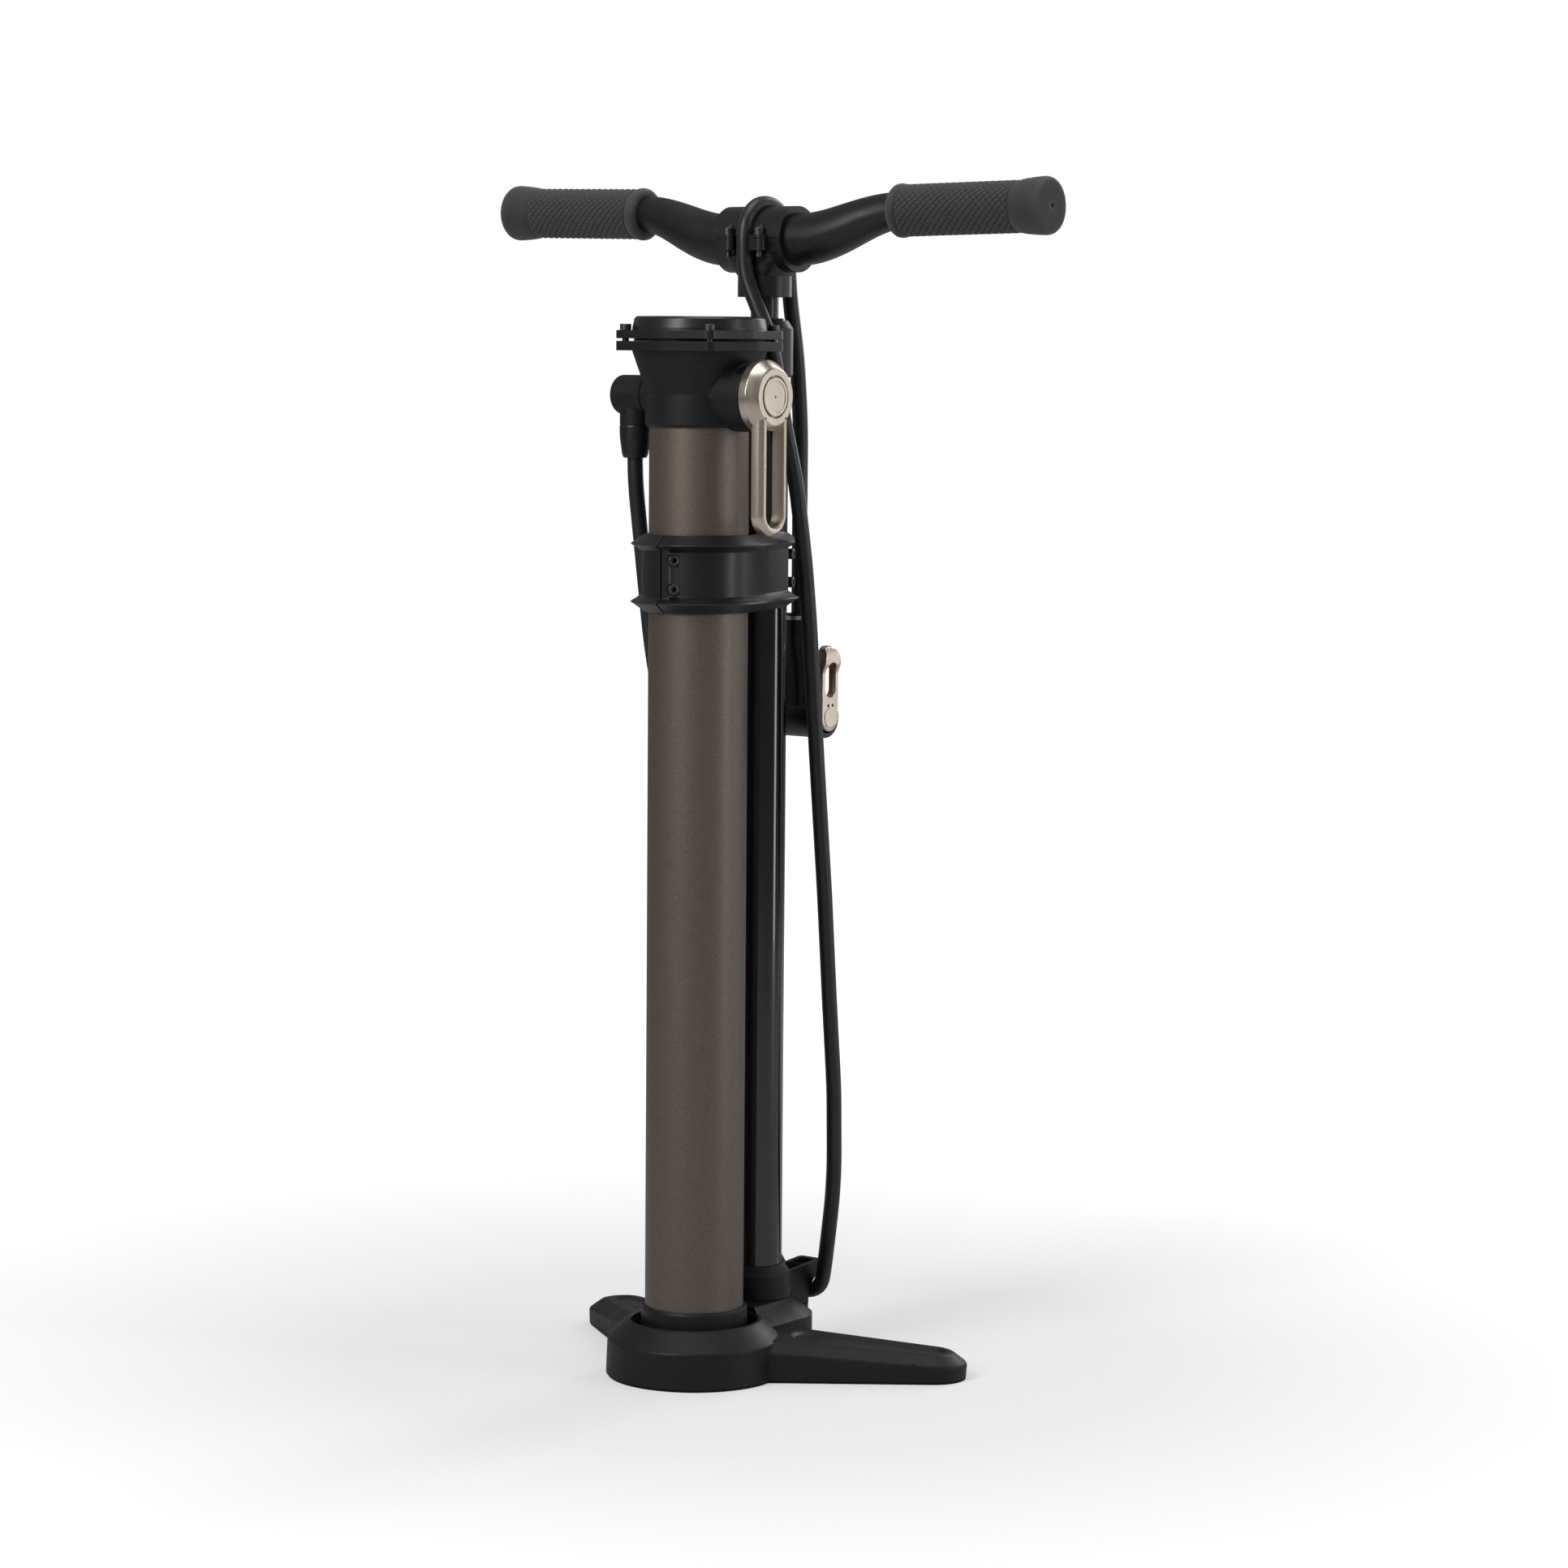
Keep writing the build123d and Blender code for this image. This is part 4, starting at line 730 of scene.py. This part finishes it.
def clamp_half(side, hand):
    outline = clamp_outline()
    from_front = [0.0]
    for before, after in zip(outline, outline[1:]):
        from_front.append(from_front[-1] + (after[0] - before[0]).length)
    total = from_front[-1]
    heights = [CLAMP_BOTTOM + row for row in CLAMP_ROWS]
    heights += [CLAMP_TOP - row for row in reversed(CLAMP_ROWS[:-1])]
    verts = []

    def add_vertex(point, z):
        verts.append((side * max(point.x, SPLIT_HALF_GAP), point.y, z))

    for z in heights:
        to_edge = min(z - CLAMP_BOTTOM, CLAMP_TOP - z)
        for (point, normal, depth), to_front in zip(outline, from_front):
            to_rear = total - to_front
            offset = clamp_offset(to_edge, to_front, to_rear, depth)
            # the edges along the splits are eased
            front_ease = 0.5 * (1.0 - smoothstep(to_front, 0.35, 0.9))
            rear_ease = 0.3 * (1.0 - smoothstep(to_rear, 0.35, 0.9))
            add_vertex(point + normal * (offset - (front_ease + rear_ease)), z)
    for z in (CLAMP_BOTTOM, CLAMP_TOP):
        for point, normal, depth in outline:
            add_vertex(point - normal * depth, z)

    columns = len(outline)
    faces = grid_faces(len(heights), columns, close_columns=False)
    # first vertex of the top outer row, and of the lower and upper inner rows
    top = (len(heights) - 1) * columns
    low_inner = top + columns
    high_inner = low_inner + columns
    for k in range(columns - 1):
        for a, b in ((low_inner, high_inner), (0, low_inner), (top, high_inner)):
            faces.append((a + k, a + k + 1, b + k + 1, b + k))
    for k in (0, columns - 1):
        outer_edge = tuple(i * columns + k for i in range(len(heights)))
        faces.append(outer_edge + (high_inner + k, low_inner + k))
    build_mesh(
        f"band_clamp_{hand}", verts, faces, "satin_black",
        body="pump_body", slot="satin_black", replaces=f"clamp_{hand}", angle=28,
    )


clamp_half(1, "right")
clamp_half(-1, "left")

SCREW_RADIUS, SCREW_HEIGHT = 3.35, 5.4
SOCKET_RADIUS = 1.75  # centre to corner of the hexagon
SCREW_SEGMENTS = 48
SCREW_Z_OFFSET = 8.7  # above and below the middle of the clamp
# front and rear pair: seat (x, y) and direction of the axis (x, y)
SCREW_SEATS = [((5.0, -97.4), (0.86, -0.51)), ((3.0, 19.2), (0.94, 0.34))]


def clamp_screw(name, origin, axis):
    """Cap-head screw: rounded rim and a hexagonal socket."""
    origin, axis = Vector(origin), Vector(axis).normalized()
    sides = sides_of(axis)
    # (radius share, height)
    rim = [
        (0.96, 0.0), (1.0, 0.25), (1.0, SCREW_HEIGHT - 0.7), (0.985, SCREW_HEIGHT - 0.35),
        (0.92, SCREW_HEIGHT - 0.08), (0.84, SCREW_HEIGHT),
    ]
    # (depth below the top, size share)
    socket = [(0.0, 1.12), (0.18, 1.0), (SCREW_HEIGHT * 0.62, 1.0)]
    verts = []
    for share, height in rim:
        verts += ring(origin + axis * height, sides, SCREW_RADIUS * share, SCREW_SEGMENTS)
    for depth, share in socket:
        centre = origin + axis * (SCREW_HEIGHT - depth)
        flat = SOCKET_RADIUS * share * math.cos(math.pi / 6)
        for k in range(SCREW_SEGMENTS):
            angle = 2 * math.pi * k / SCREW_SEGMENTS
            from_flat = (angle % (math.pi / 3)) - math.pi / 6
            verts.append(rim_point(centre, sides, flat / math.cos(from_flat), angle))
    rows = len(rim) + len(socket)
    faces = grid_faces(rows, SCREW_SEGMENTS)
    faces += [cap(rows - 1, SCREW_SEGMENTS), cap(0, SCREW_SEGMENTS)[::-1]]
    build_mesh(
        name, verts, faces, "bolt_bronze",
        body="pump_body", slot="bolt_bronze", replaces="clamp_screws", angle=40,
    )


for pair, (seat, direction) in enumerate(SCREW_SEATS):
    for i, z_offset in enumerate((SCREW_Z_OFFSET, -SCREW_Z_OFFSET)):
        clamp_screw(
            f"clamp_screw_head_{2 * pair + i}", (*seat, CLAMP_MIDDLE + z_offset), (*direction, 0)
        )

# ------------------------------------------------------------------ selector lever
# a round hub on an X axis with a loop hanging below it; the far face looks along +X
HUB_Z = 595.6
HUB_SEGMENTS = 192
HUB_FLAT = 20.1  # distance of the flat under the hub from its axis
SELECTOR_NEAR_X, SELECTOR_FAR_X = 44.7, 57.2
WINDOW_HALF_WIDTH = 8.1
LOOP_TOP_Z, LOOP_ARC_Z = 583.5, 526.2
LEG_STEPS, ARC_STEPS = 14, 48

# (radius, x)
HUB_PROFILE = [
    (5.3, SELECTOR_NEAR_X), (20.2, SELECTOR_NEAR_X), (21.2, 45.0), (21.8, 45.7), (21.8, 50.7),
    (21.55, 51.25), (17.6, 56.35), (17.0, 56.95), (16.5, SELECTOR_FAR_X),
    (12.95, SELECTOR_FAR_X), (12.55, 56.95), (12.45, 56.5), (12.45, 54.9), (5.3, 54.9),
]
# rail of the loop: (distance from the middle line of the loop, x)
RAIL_SECTION = [
    (WINDOW_HALF_WIDTH, 48.7), (WINDOW_HALF_WIDTH, SELECTOR_FAR_X - 1.0),
    (8.25, SELECTOR_FAR_X - 0.55), (8.75, SELECTOR_FAR_X - 0.1), (9.1, SELECTOR_FAR_X),
    (10.7, SELECTOR_FAR_X), (11.0, SELECTOR_FAR_X - 0.12), (13.0, SELECTOR_FAR_X - 2.5),
    (13.2, SELECTOR_FAR_X - 2.95), (13.2, 49.3), (12.7, 48.7),
]


def build_selector_part(name, verts, faces):
    build_mesh(
        name, verts, faces, "champagne",
        body="selector", slot="champagne", replaces="selector_lever", angle=24,
    )


def selector_hub():
    verts = []
    for profile_radius, x in HUB_PROFILE:
        for k in range(HUB_SEGMENTS):
            angle = 2 * math.pi * k / HUB_SEGMENTS
            across, down = math.sin(angle), math.cos(angle)
            radius = profile_radius
            # flat where the window of the loop meets the hub
            if down > 0.5 and abs(across / down) < WINDOW_HALF_WIDTH / HUB_FLAT:
                radius = min(radius, HUB_FLAT / down)
            verts.append((x, CHAMBER_Y + across * radius, HUB_Z - down * radius))
    faces = grid_faces(len(HUB_PROFILE), HUB_SEGMENTS, close_rows=True)
    build_selector_part("selector_hub", verts, faces)


def selector_loop():
    # stations along the loop: share of the rail distance across and down, and z
    leg = LOOP_ARC_Z - LOOP_TOP_Z
    stations = [(1, 0, LOOP_TOP_Z + leg * i / LEG_STEPS) for i in range(LEG_STEPS + 1)]
    for i in range(1, ARC_STEPS):
        angle = math.pi * i / ARC_STEPS
        stations.append((math.cos(angle), math.sin(angle), LOOP_ARC_Z))
    stations += [(-1, 0, LOOP_ARC_Z - leg * i / LEG_STEPS) for i in range(LEG_STEPS + 1)]
    verts = [
        (x, CHAMBER_Y + across * distance, z - down * distance)
        for across, down, z in stations
        for distance, x in RAIL_SECTION
    ]
    columns = len(RAIL_SECTION)
    faces = grid_faces(len(stations), columns)
    faces += [cap(0, columns), cap(len(stations) - 1, columns)[::-1]]
    build_selector_part("selector_loop", verts, faces)


selector_hub()
selector_loop()

# ------------------------------------------------------------------ head lever
# an upright loop facing +X, with a thick rounded upper end and a pivot at its foot
HEAD_X, HEAD_Y = 20.4, 37.6
LEVER_CENTRE_Z = 415.0  # the outlines are measured from here
LEVER_COLUMNS = 240
LEVER_HALF_WIDTH = 8.3
LEVER_TIP_Z, LEVER_TIP_LENGTH = 426.2, 15.6
LEVER_TIP_POWER = 2.5
LEVER_FOOT_Z = 397.0
HOLE_HALF_WIDTH = 5.3
HOLE_TOP_Z, HOLE_BOTTOM_Z = 426.0, 415.2
TIP_ROUND_START, TIP_ROUND_LENGTH, TIP_ROUND_DEPTH = 432.0, 9.9, 5.0


def inside_lever(y, z):
    if z > LEVER_TIP_Z:
        across = (abs(y) / LEVER_HALF_WIDTH) ** LEVER_TIP_POWER
        return across + ((z - LEVER_TIP_Z) / LEVER_TIP_LENGTH) ** LEVER_TIP_POWER < 1
    if z < LEVER_FOOT_Z:
        return y * y + (z - LEVER_FOOT_Z) ** 2 < LEVER_HALF_WIDTH**2
    return abs(y) < LEVER_HALF_WIDTH


def inside_hole(y, z):
    if z > HOLE_TOP_Z:
        return y * y + (z - HOLE_TOP_Z) ** 2 < HOLE_HALF_WIDTH**2
    if z < HOLE_BOTTOM_Z:
        return y * y + (z - HOLE_BOTTOM_Z) ** 2 < HOLE_HALF_WIDTH**2
    return abs(y) < HOLE_HALF_WIDTH


def reach(inside, angle, limit):
    """Distance from the lever's centre to an outline, found by halving the interval."""
    low, high = 0.0, limit
    for _ in range(40):
        radius = (low + high) / 2
        if inside(radius * math.cos(angle), LEVER_CENTRE_Z + radius * math.sin(angle)):
            low = radius
        else:
            high = radius
    return low


def far_face(z):
    x = HEAD_X + 4.4 + 2.3 * smoothstep(z, 424.0, 432.0)
    if z > TIP_ROUND_START:
        share = min(1.0, (z - TIP_ROUND_START) / TIP_ROUND_LENGTH)
        x -= TIP_ROUND_DEPTH * (1 - math.sqrt(1 - share * share))
    return x


def near_face(z):
    return HEAD_X - 0.9 - 2.5 * (1 - smoothstep(z, 401.0, 403.5))


def head_lever():
    verts = []
    for k in range(LEVER_COLUMNS):
        angle = 2 * math.pi * k / LEVER_COLUMNS
        hole = reach(inside_hole, angle, limit=30.0)
        edge = reach(inside_lever, angle, limit=40.0)
        width = edge - hole
        # (radius, face, x offset): out along the hole wall, over the far face,
        # in along the outer wall and back across the near face
        section = (
            (hole, near_face, 0.0), (hole, far_face, -0.55), (hole + 0.16, far_face, -0.2),
            (hole + 0.5, far_face, 0.0), (hole + width * 0.4, far_face, 0.0),
            (hole + width * 0.7, far_face, 0.0), (edge - 0.75, far_face, 0.0),
            (edge - 0.28, far_face, -0.2), (edge, far_face, -0.75), (edge, near_face, 0.3),
            (edge - 0.3, near_face, 0.0), (hole + width * 0.5, near_face, 0.0),
        )
        for radius, face, offset in section:
            z = LEVER_CENTRE_Z + radius * math.sin(angle)
            verts.append((face(z) + offset, HEAD_Y + radius * math.cos(angle), z))
    faces = grid_faces(LEVER_COLUMNS, len(section), close_rows=True)
    build_mesh(
        "head_thumb_lever", verts, faces, "champagne",
        body="thumb_lever", slot="champagne", replaces="head_lever", angle=26,
    )


def head_pivot():
    """Low round boss over the pivot, with two spanner pits above it."""
    lathe(
        "head_pivot_boss", [(0.0, 0.0), (6.2, 0.0), (6.2, 0.35), (5.9, 0.6), (0.0, 0.6)],
        (HEAD_X + 4.3, HEAD_Y, 397.2), (1, 0, 0), "champagne",
        body="thumb_lever", slot="champagne",
    )
    for i, y_offset in enumerate((-2.3, 2.3)):
        lathe(
            f"spanner_pit_{i}", [(0.0, 0.0), (1.05, 0.0), (1.05, 0.12), (0.0, 0.12)],
            (HEAD_X + 4.35, HEAD_Y + y_offset, 404.8), (1, 0, 0), "dial_ink",
            segments=32, body="thumb_lever", slot="champagne",
        )


head_lever()
head_pivot()


# ------------------------------------------------------------------ check valve spring
def valve_spring(coil_radius=4.0, wire_radius=0.4, turns=5.2, foot_z=30.65, height=11.1,
                 steps=300):
    """Coil from its foot in the base up to the poppet."""
    points = []
    for i in range(steps + 1):
        share = i / steps
        angle = 2 * math.pi * turns * share
        points.append(Vector((
            coil_radius * math.cos(angle), coil_radius * math.sin(angle), foot_z + height * share
        )))
    spring = sweep(
        "valve_spring", points, frames_along(points), wire_radius, 14, "spring_steel",
        slot="spring_steel", replaces="check_spring",
    )
    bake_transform(spring)


valve_spring()

# ------------------------------------------------------------------ dial scale
INK_BOTTOM, INK_TOP = 631.15, 631.32
SCALE_START, SCALE_SWEEP = -90, 270  # degrees; the scale runs clockwise seen from above
TICK_GAPS = 50
TICK_OUTER = 30.0
MAJOR_EVERY = 5
MAJOR_TICK = (24.0, 0.42)  # inner radius, half width
MINOR_TICK = (27.0, 0.2)
SCALE_RINGS = ((30.2, 30.7), (21.6, 21.9))  # inner and outer radius
RING_STEP = 2  # degrees


def dial_scale():
    """Raised ink strokes: plain ticks and two rings, no figures."""
    verts, faces = [], []

    def add_block(corners):
        base = len(verts)
        for z in (INK_BOTTOM, INK_TOP):
            verts.extend((x, CHAMBER_Y + y, z) for x, y in corners)
        faces.append((base, base + 3, base + 2, base + 1))
        faces.append((base + 4, base + 5, base + 6, base + 7))
        for k in range(4):
            k2 = (k + 1) % 4
            faces.append((base + k, base + k2, base + 4 + k2, base + 4 + k))

    def polar(radius, degrees):
        angle = math.radians(degrees)
        return radius * math.cos(angle), radius * math.sin(angle)

    for i in range(TICK_GAPS + 1):
        out = Vector(polar(1.0, SCALE_START - SCALE_SWEEP * i / TICK_GAPS))
        inner, half_width = MINOR_TICK if i % MAJOR_EVERY else MAJOR_TICK
        side = Vector((-out.y, out.x)) * half_width
        start, end = out * inner, out * TICK_OUTER
        add_block([start - side, end - side, end + side, start + side])
    for inner, outer in SCALE_RINGS:
        for i in range(SCALE_SWEEP // RING_STEP):
            here = SCALE_START - RING_STEP * i
            there = here - RING_STEP
            add_block([
                polar(inner, here), polar(outer, here), polar(outer, there), polar(inner, there)
            ])
    build_mesh(
        "dial_scale", verts, faces, "dial_ink",
        body="pump_body", slot="dial_white", smooth=False,
    )


dial_scale()


# ------------------------------------------------------------------ stage
def stage_paper():
    """Pale paper that, for the camera only, glows out into white away from the pump."""
    g = Graph("stage paper")
    fine = g.noise(scale=300)
    g.surface(
        Base_Color=g.mottle(fine, (0.52, 0.52, 0.522), (0.54, 0.54, 0.542)),
        Roughness=0.85,
        Specular_IOR_Level=0.1,
        Emission_Color=(1, 1, 1, 1),
    )
    coords = g.add("TexCoord")
    distance = g.add("VectorMath")
    distance.operation = "LENGTH"
    g.feed(distance.inputs[0], coords.outputs["Object"])
    glow = g.ramp(distance.outputs["Value"], span=(0.25, 1.3), to=(0.40, 1.0))
    camera_ray = g.add("LightPath").outputs["Is Camera Ray"]
    g.surface(Emission_Strength=g.math("MULTIPLY", glow, camera_ray))
    g.bump(fine, strength=0.02, distance=0.0002)
    return g.material


def stage(radius=14000.0, rings=40, segments=96, z=-0.05, crowding=2.2):
    """Round floor, with its rings crowded towards the middle."""
    verts = []
    for i in range(1, rings + 1):
        ring_radius = radius * (i / rings) ** crowding
        for k in range(segments):
            angle = 2 * math.pi * k / segments
            verts.append((ring_radius * math.cos(angle), ring_radius * math.sin(angle), z))
    faces = [cap(0, segments)] + grid_faces(rings, segments)
    MATERIALS["stage"] = stage_paper()
    build_mesh("stage_floor", verts, faces, "stage")


stage()


# ------------------------------------------------------------------ world
def studio_world():
    """Dim white light on the pump, plain white for the camera."""
    world = bpy.data.worlds.new("studio")
    bpy.context.scene.world = world
    world.use_nodes = True
    nodes, links = world.node_tree.nodes, world.node_tree.links
    ambient = nodes["Background"]
    backdrop = nodes.new("ShaderNodeBackground")
    for background, strength in ((ambient, 0.2), (backdrop, 1.0)):
        background.inputs["Color"].default_value = (1, 1, 1, 1)
        background.inputs["Strength"].default_value = strength
    light_path = nodes.new("ShaderNodeLightPath")
    mix = nodes.new("ShaderNodeMixShader")
    links.new(light_path.outputs["Is Camera Ray"], mix.inputs[0])
    links.new(ambient.outputs[0], mix.inputs[1])
    links.new(backdrop.outputs[0], mix.inputs[2])
    links.new(mix.outputs[0], nodes["World Output"].inputs["Surface"])


studio_world()

# ------------------------------------------------------------------ lights and camera, metres
YAW, PITCH, ROLL = math.radians(36.63), math.radians(5.59), math.radians(0.45)
CAMERA_RIGHT = Vector((math.cos(YAW), math.sin(YAW), 0))
TOWARDS_CAMERA = Vector((math.sin(YAW), -math.cos(YAW), 0))
LIGHT_TARGET = Vector((0, -0.03, 0.36))
CAMERA_LOCATION = (1.64785, -2.19288, 0.62584)
SENSOR_WIDTH = 36.0  # mm
FOCAL_LENGTH = 102.811863  # mm


def area_light(name, right, towards, up, width, height, power):
    """Rectangular lamp aimed at the pump, placed from the target as the camera sees it."""
    light = bpy.data.lights.new(name, "AREA")
    light.energy = power
    light.shape = "RECTANGLE"
    light.size = width
    light.size_y = height
    lamp = bpy.data.objects.new(name, light)
    lamp.location = (
        LIGHT_TARGET + CAMERA_RIGHT * right + TOWARDS_CAMERA * towards + Vector((0, 0, up))
    )
    lamp.rotation_euler = (LIGHT_TARGET - lamp.location).to_track_quat("-Z", "Y").to_euler()
    bpy.context.scene.collection.objects.link(lamp)


area_light("key", right=-1.2, towards=1.35, up=1.2, width=0.7, height=1.5, power=24)
area_light("fill", right=1.7, towards=0.6, up=0.4, width=0.3, height=1.7, power=6.5)
area_light("side card", right=1.45, towards=-0.42, up=0.12, width=0.5, height=1.6, power=2.5)
area_light("top", right=0.1, towards=0.1, up=2.1, width=1.3, height=1.3, power=14)
area_light("rim", right=1.1, towards=-1.5, up=0.9, width=0.5, height=1.5, power=10)


def add_camera():
    back = TOWARDS_CAMERA * math.cos(PITCH) + Vector((0, 0, math.sin(PITCH)))
    level_up = back.cross(CAMERA_RIGHT)
    right = CAMERA_RIGHT * math.cos(ROLL) + level_up * math.sin(ROLL)
    up = level_up * math.cos(ROLL) - CAMERA_RIGHT * math.sin(ROLL)
    data = bpy.data.cameras.new("camera")
    data.sensor_width = SENSOR_WIDTH
    data.lens = FOCAL_LENGTH
    data.clip_end = 50
    camera = bpy.data.objects.new("camera", data)
    camera.matrix_world = Matrix([*zip(right, up, back, CAMERA_LOCATION), (0, 0, 0, 1)])
    bpy.context.scene.collection.objects.link(camera)
    bpy.context.scene.camera = camera


add_camera()
bpy.context.scene.view_settings.view_transform = "Standard"
bpy.context.scene.view_settings.look = "None"
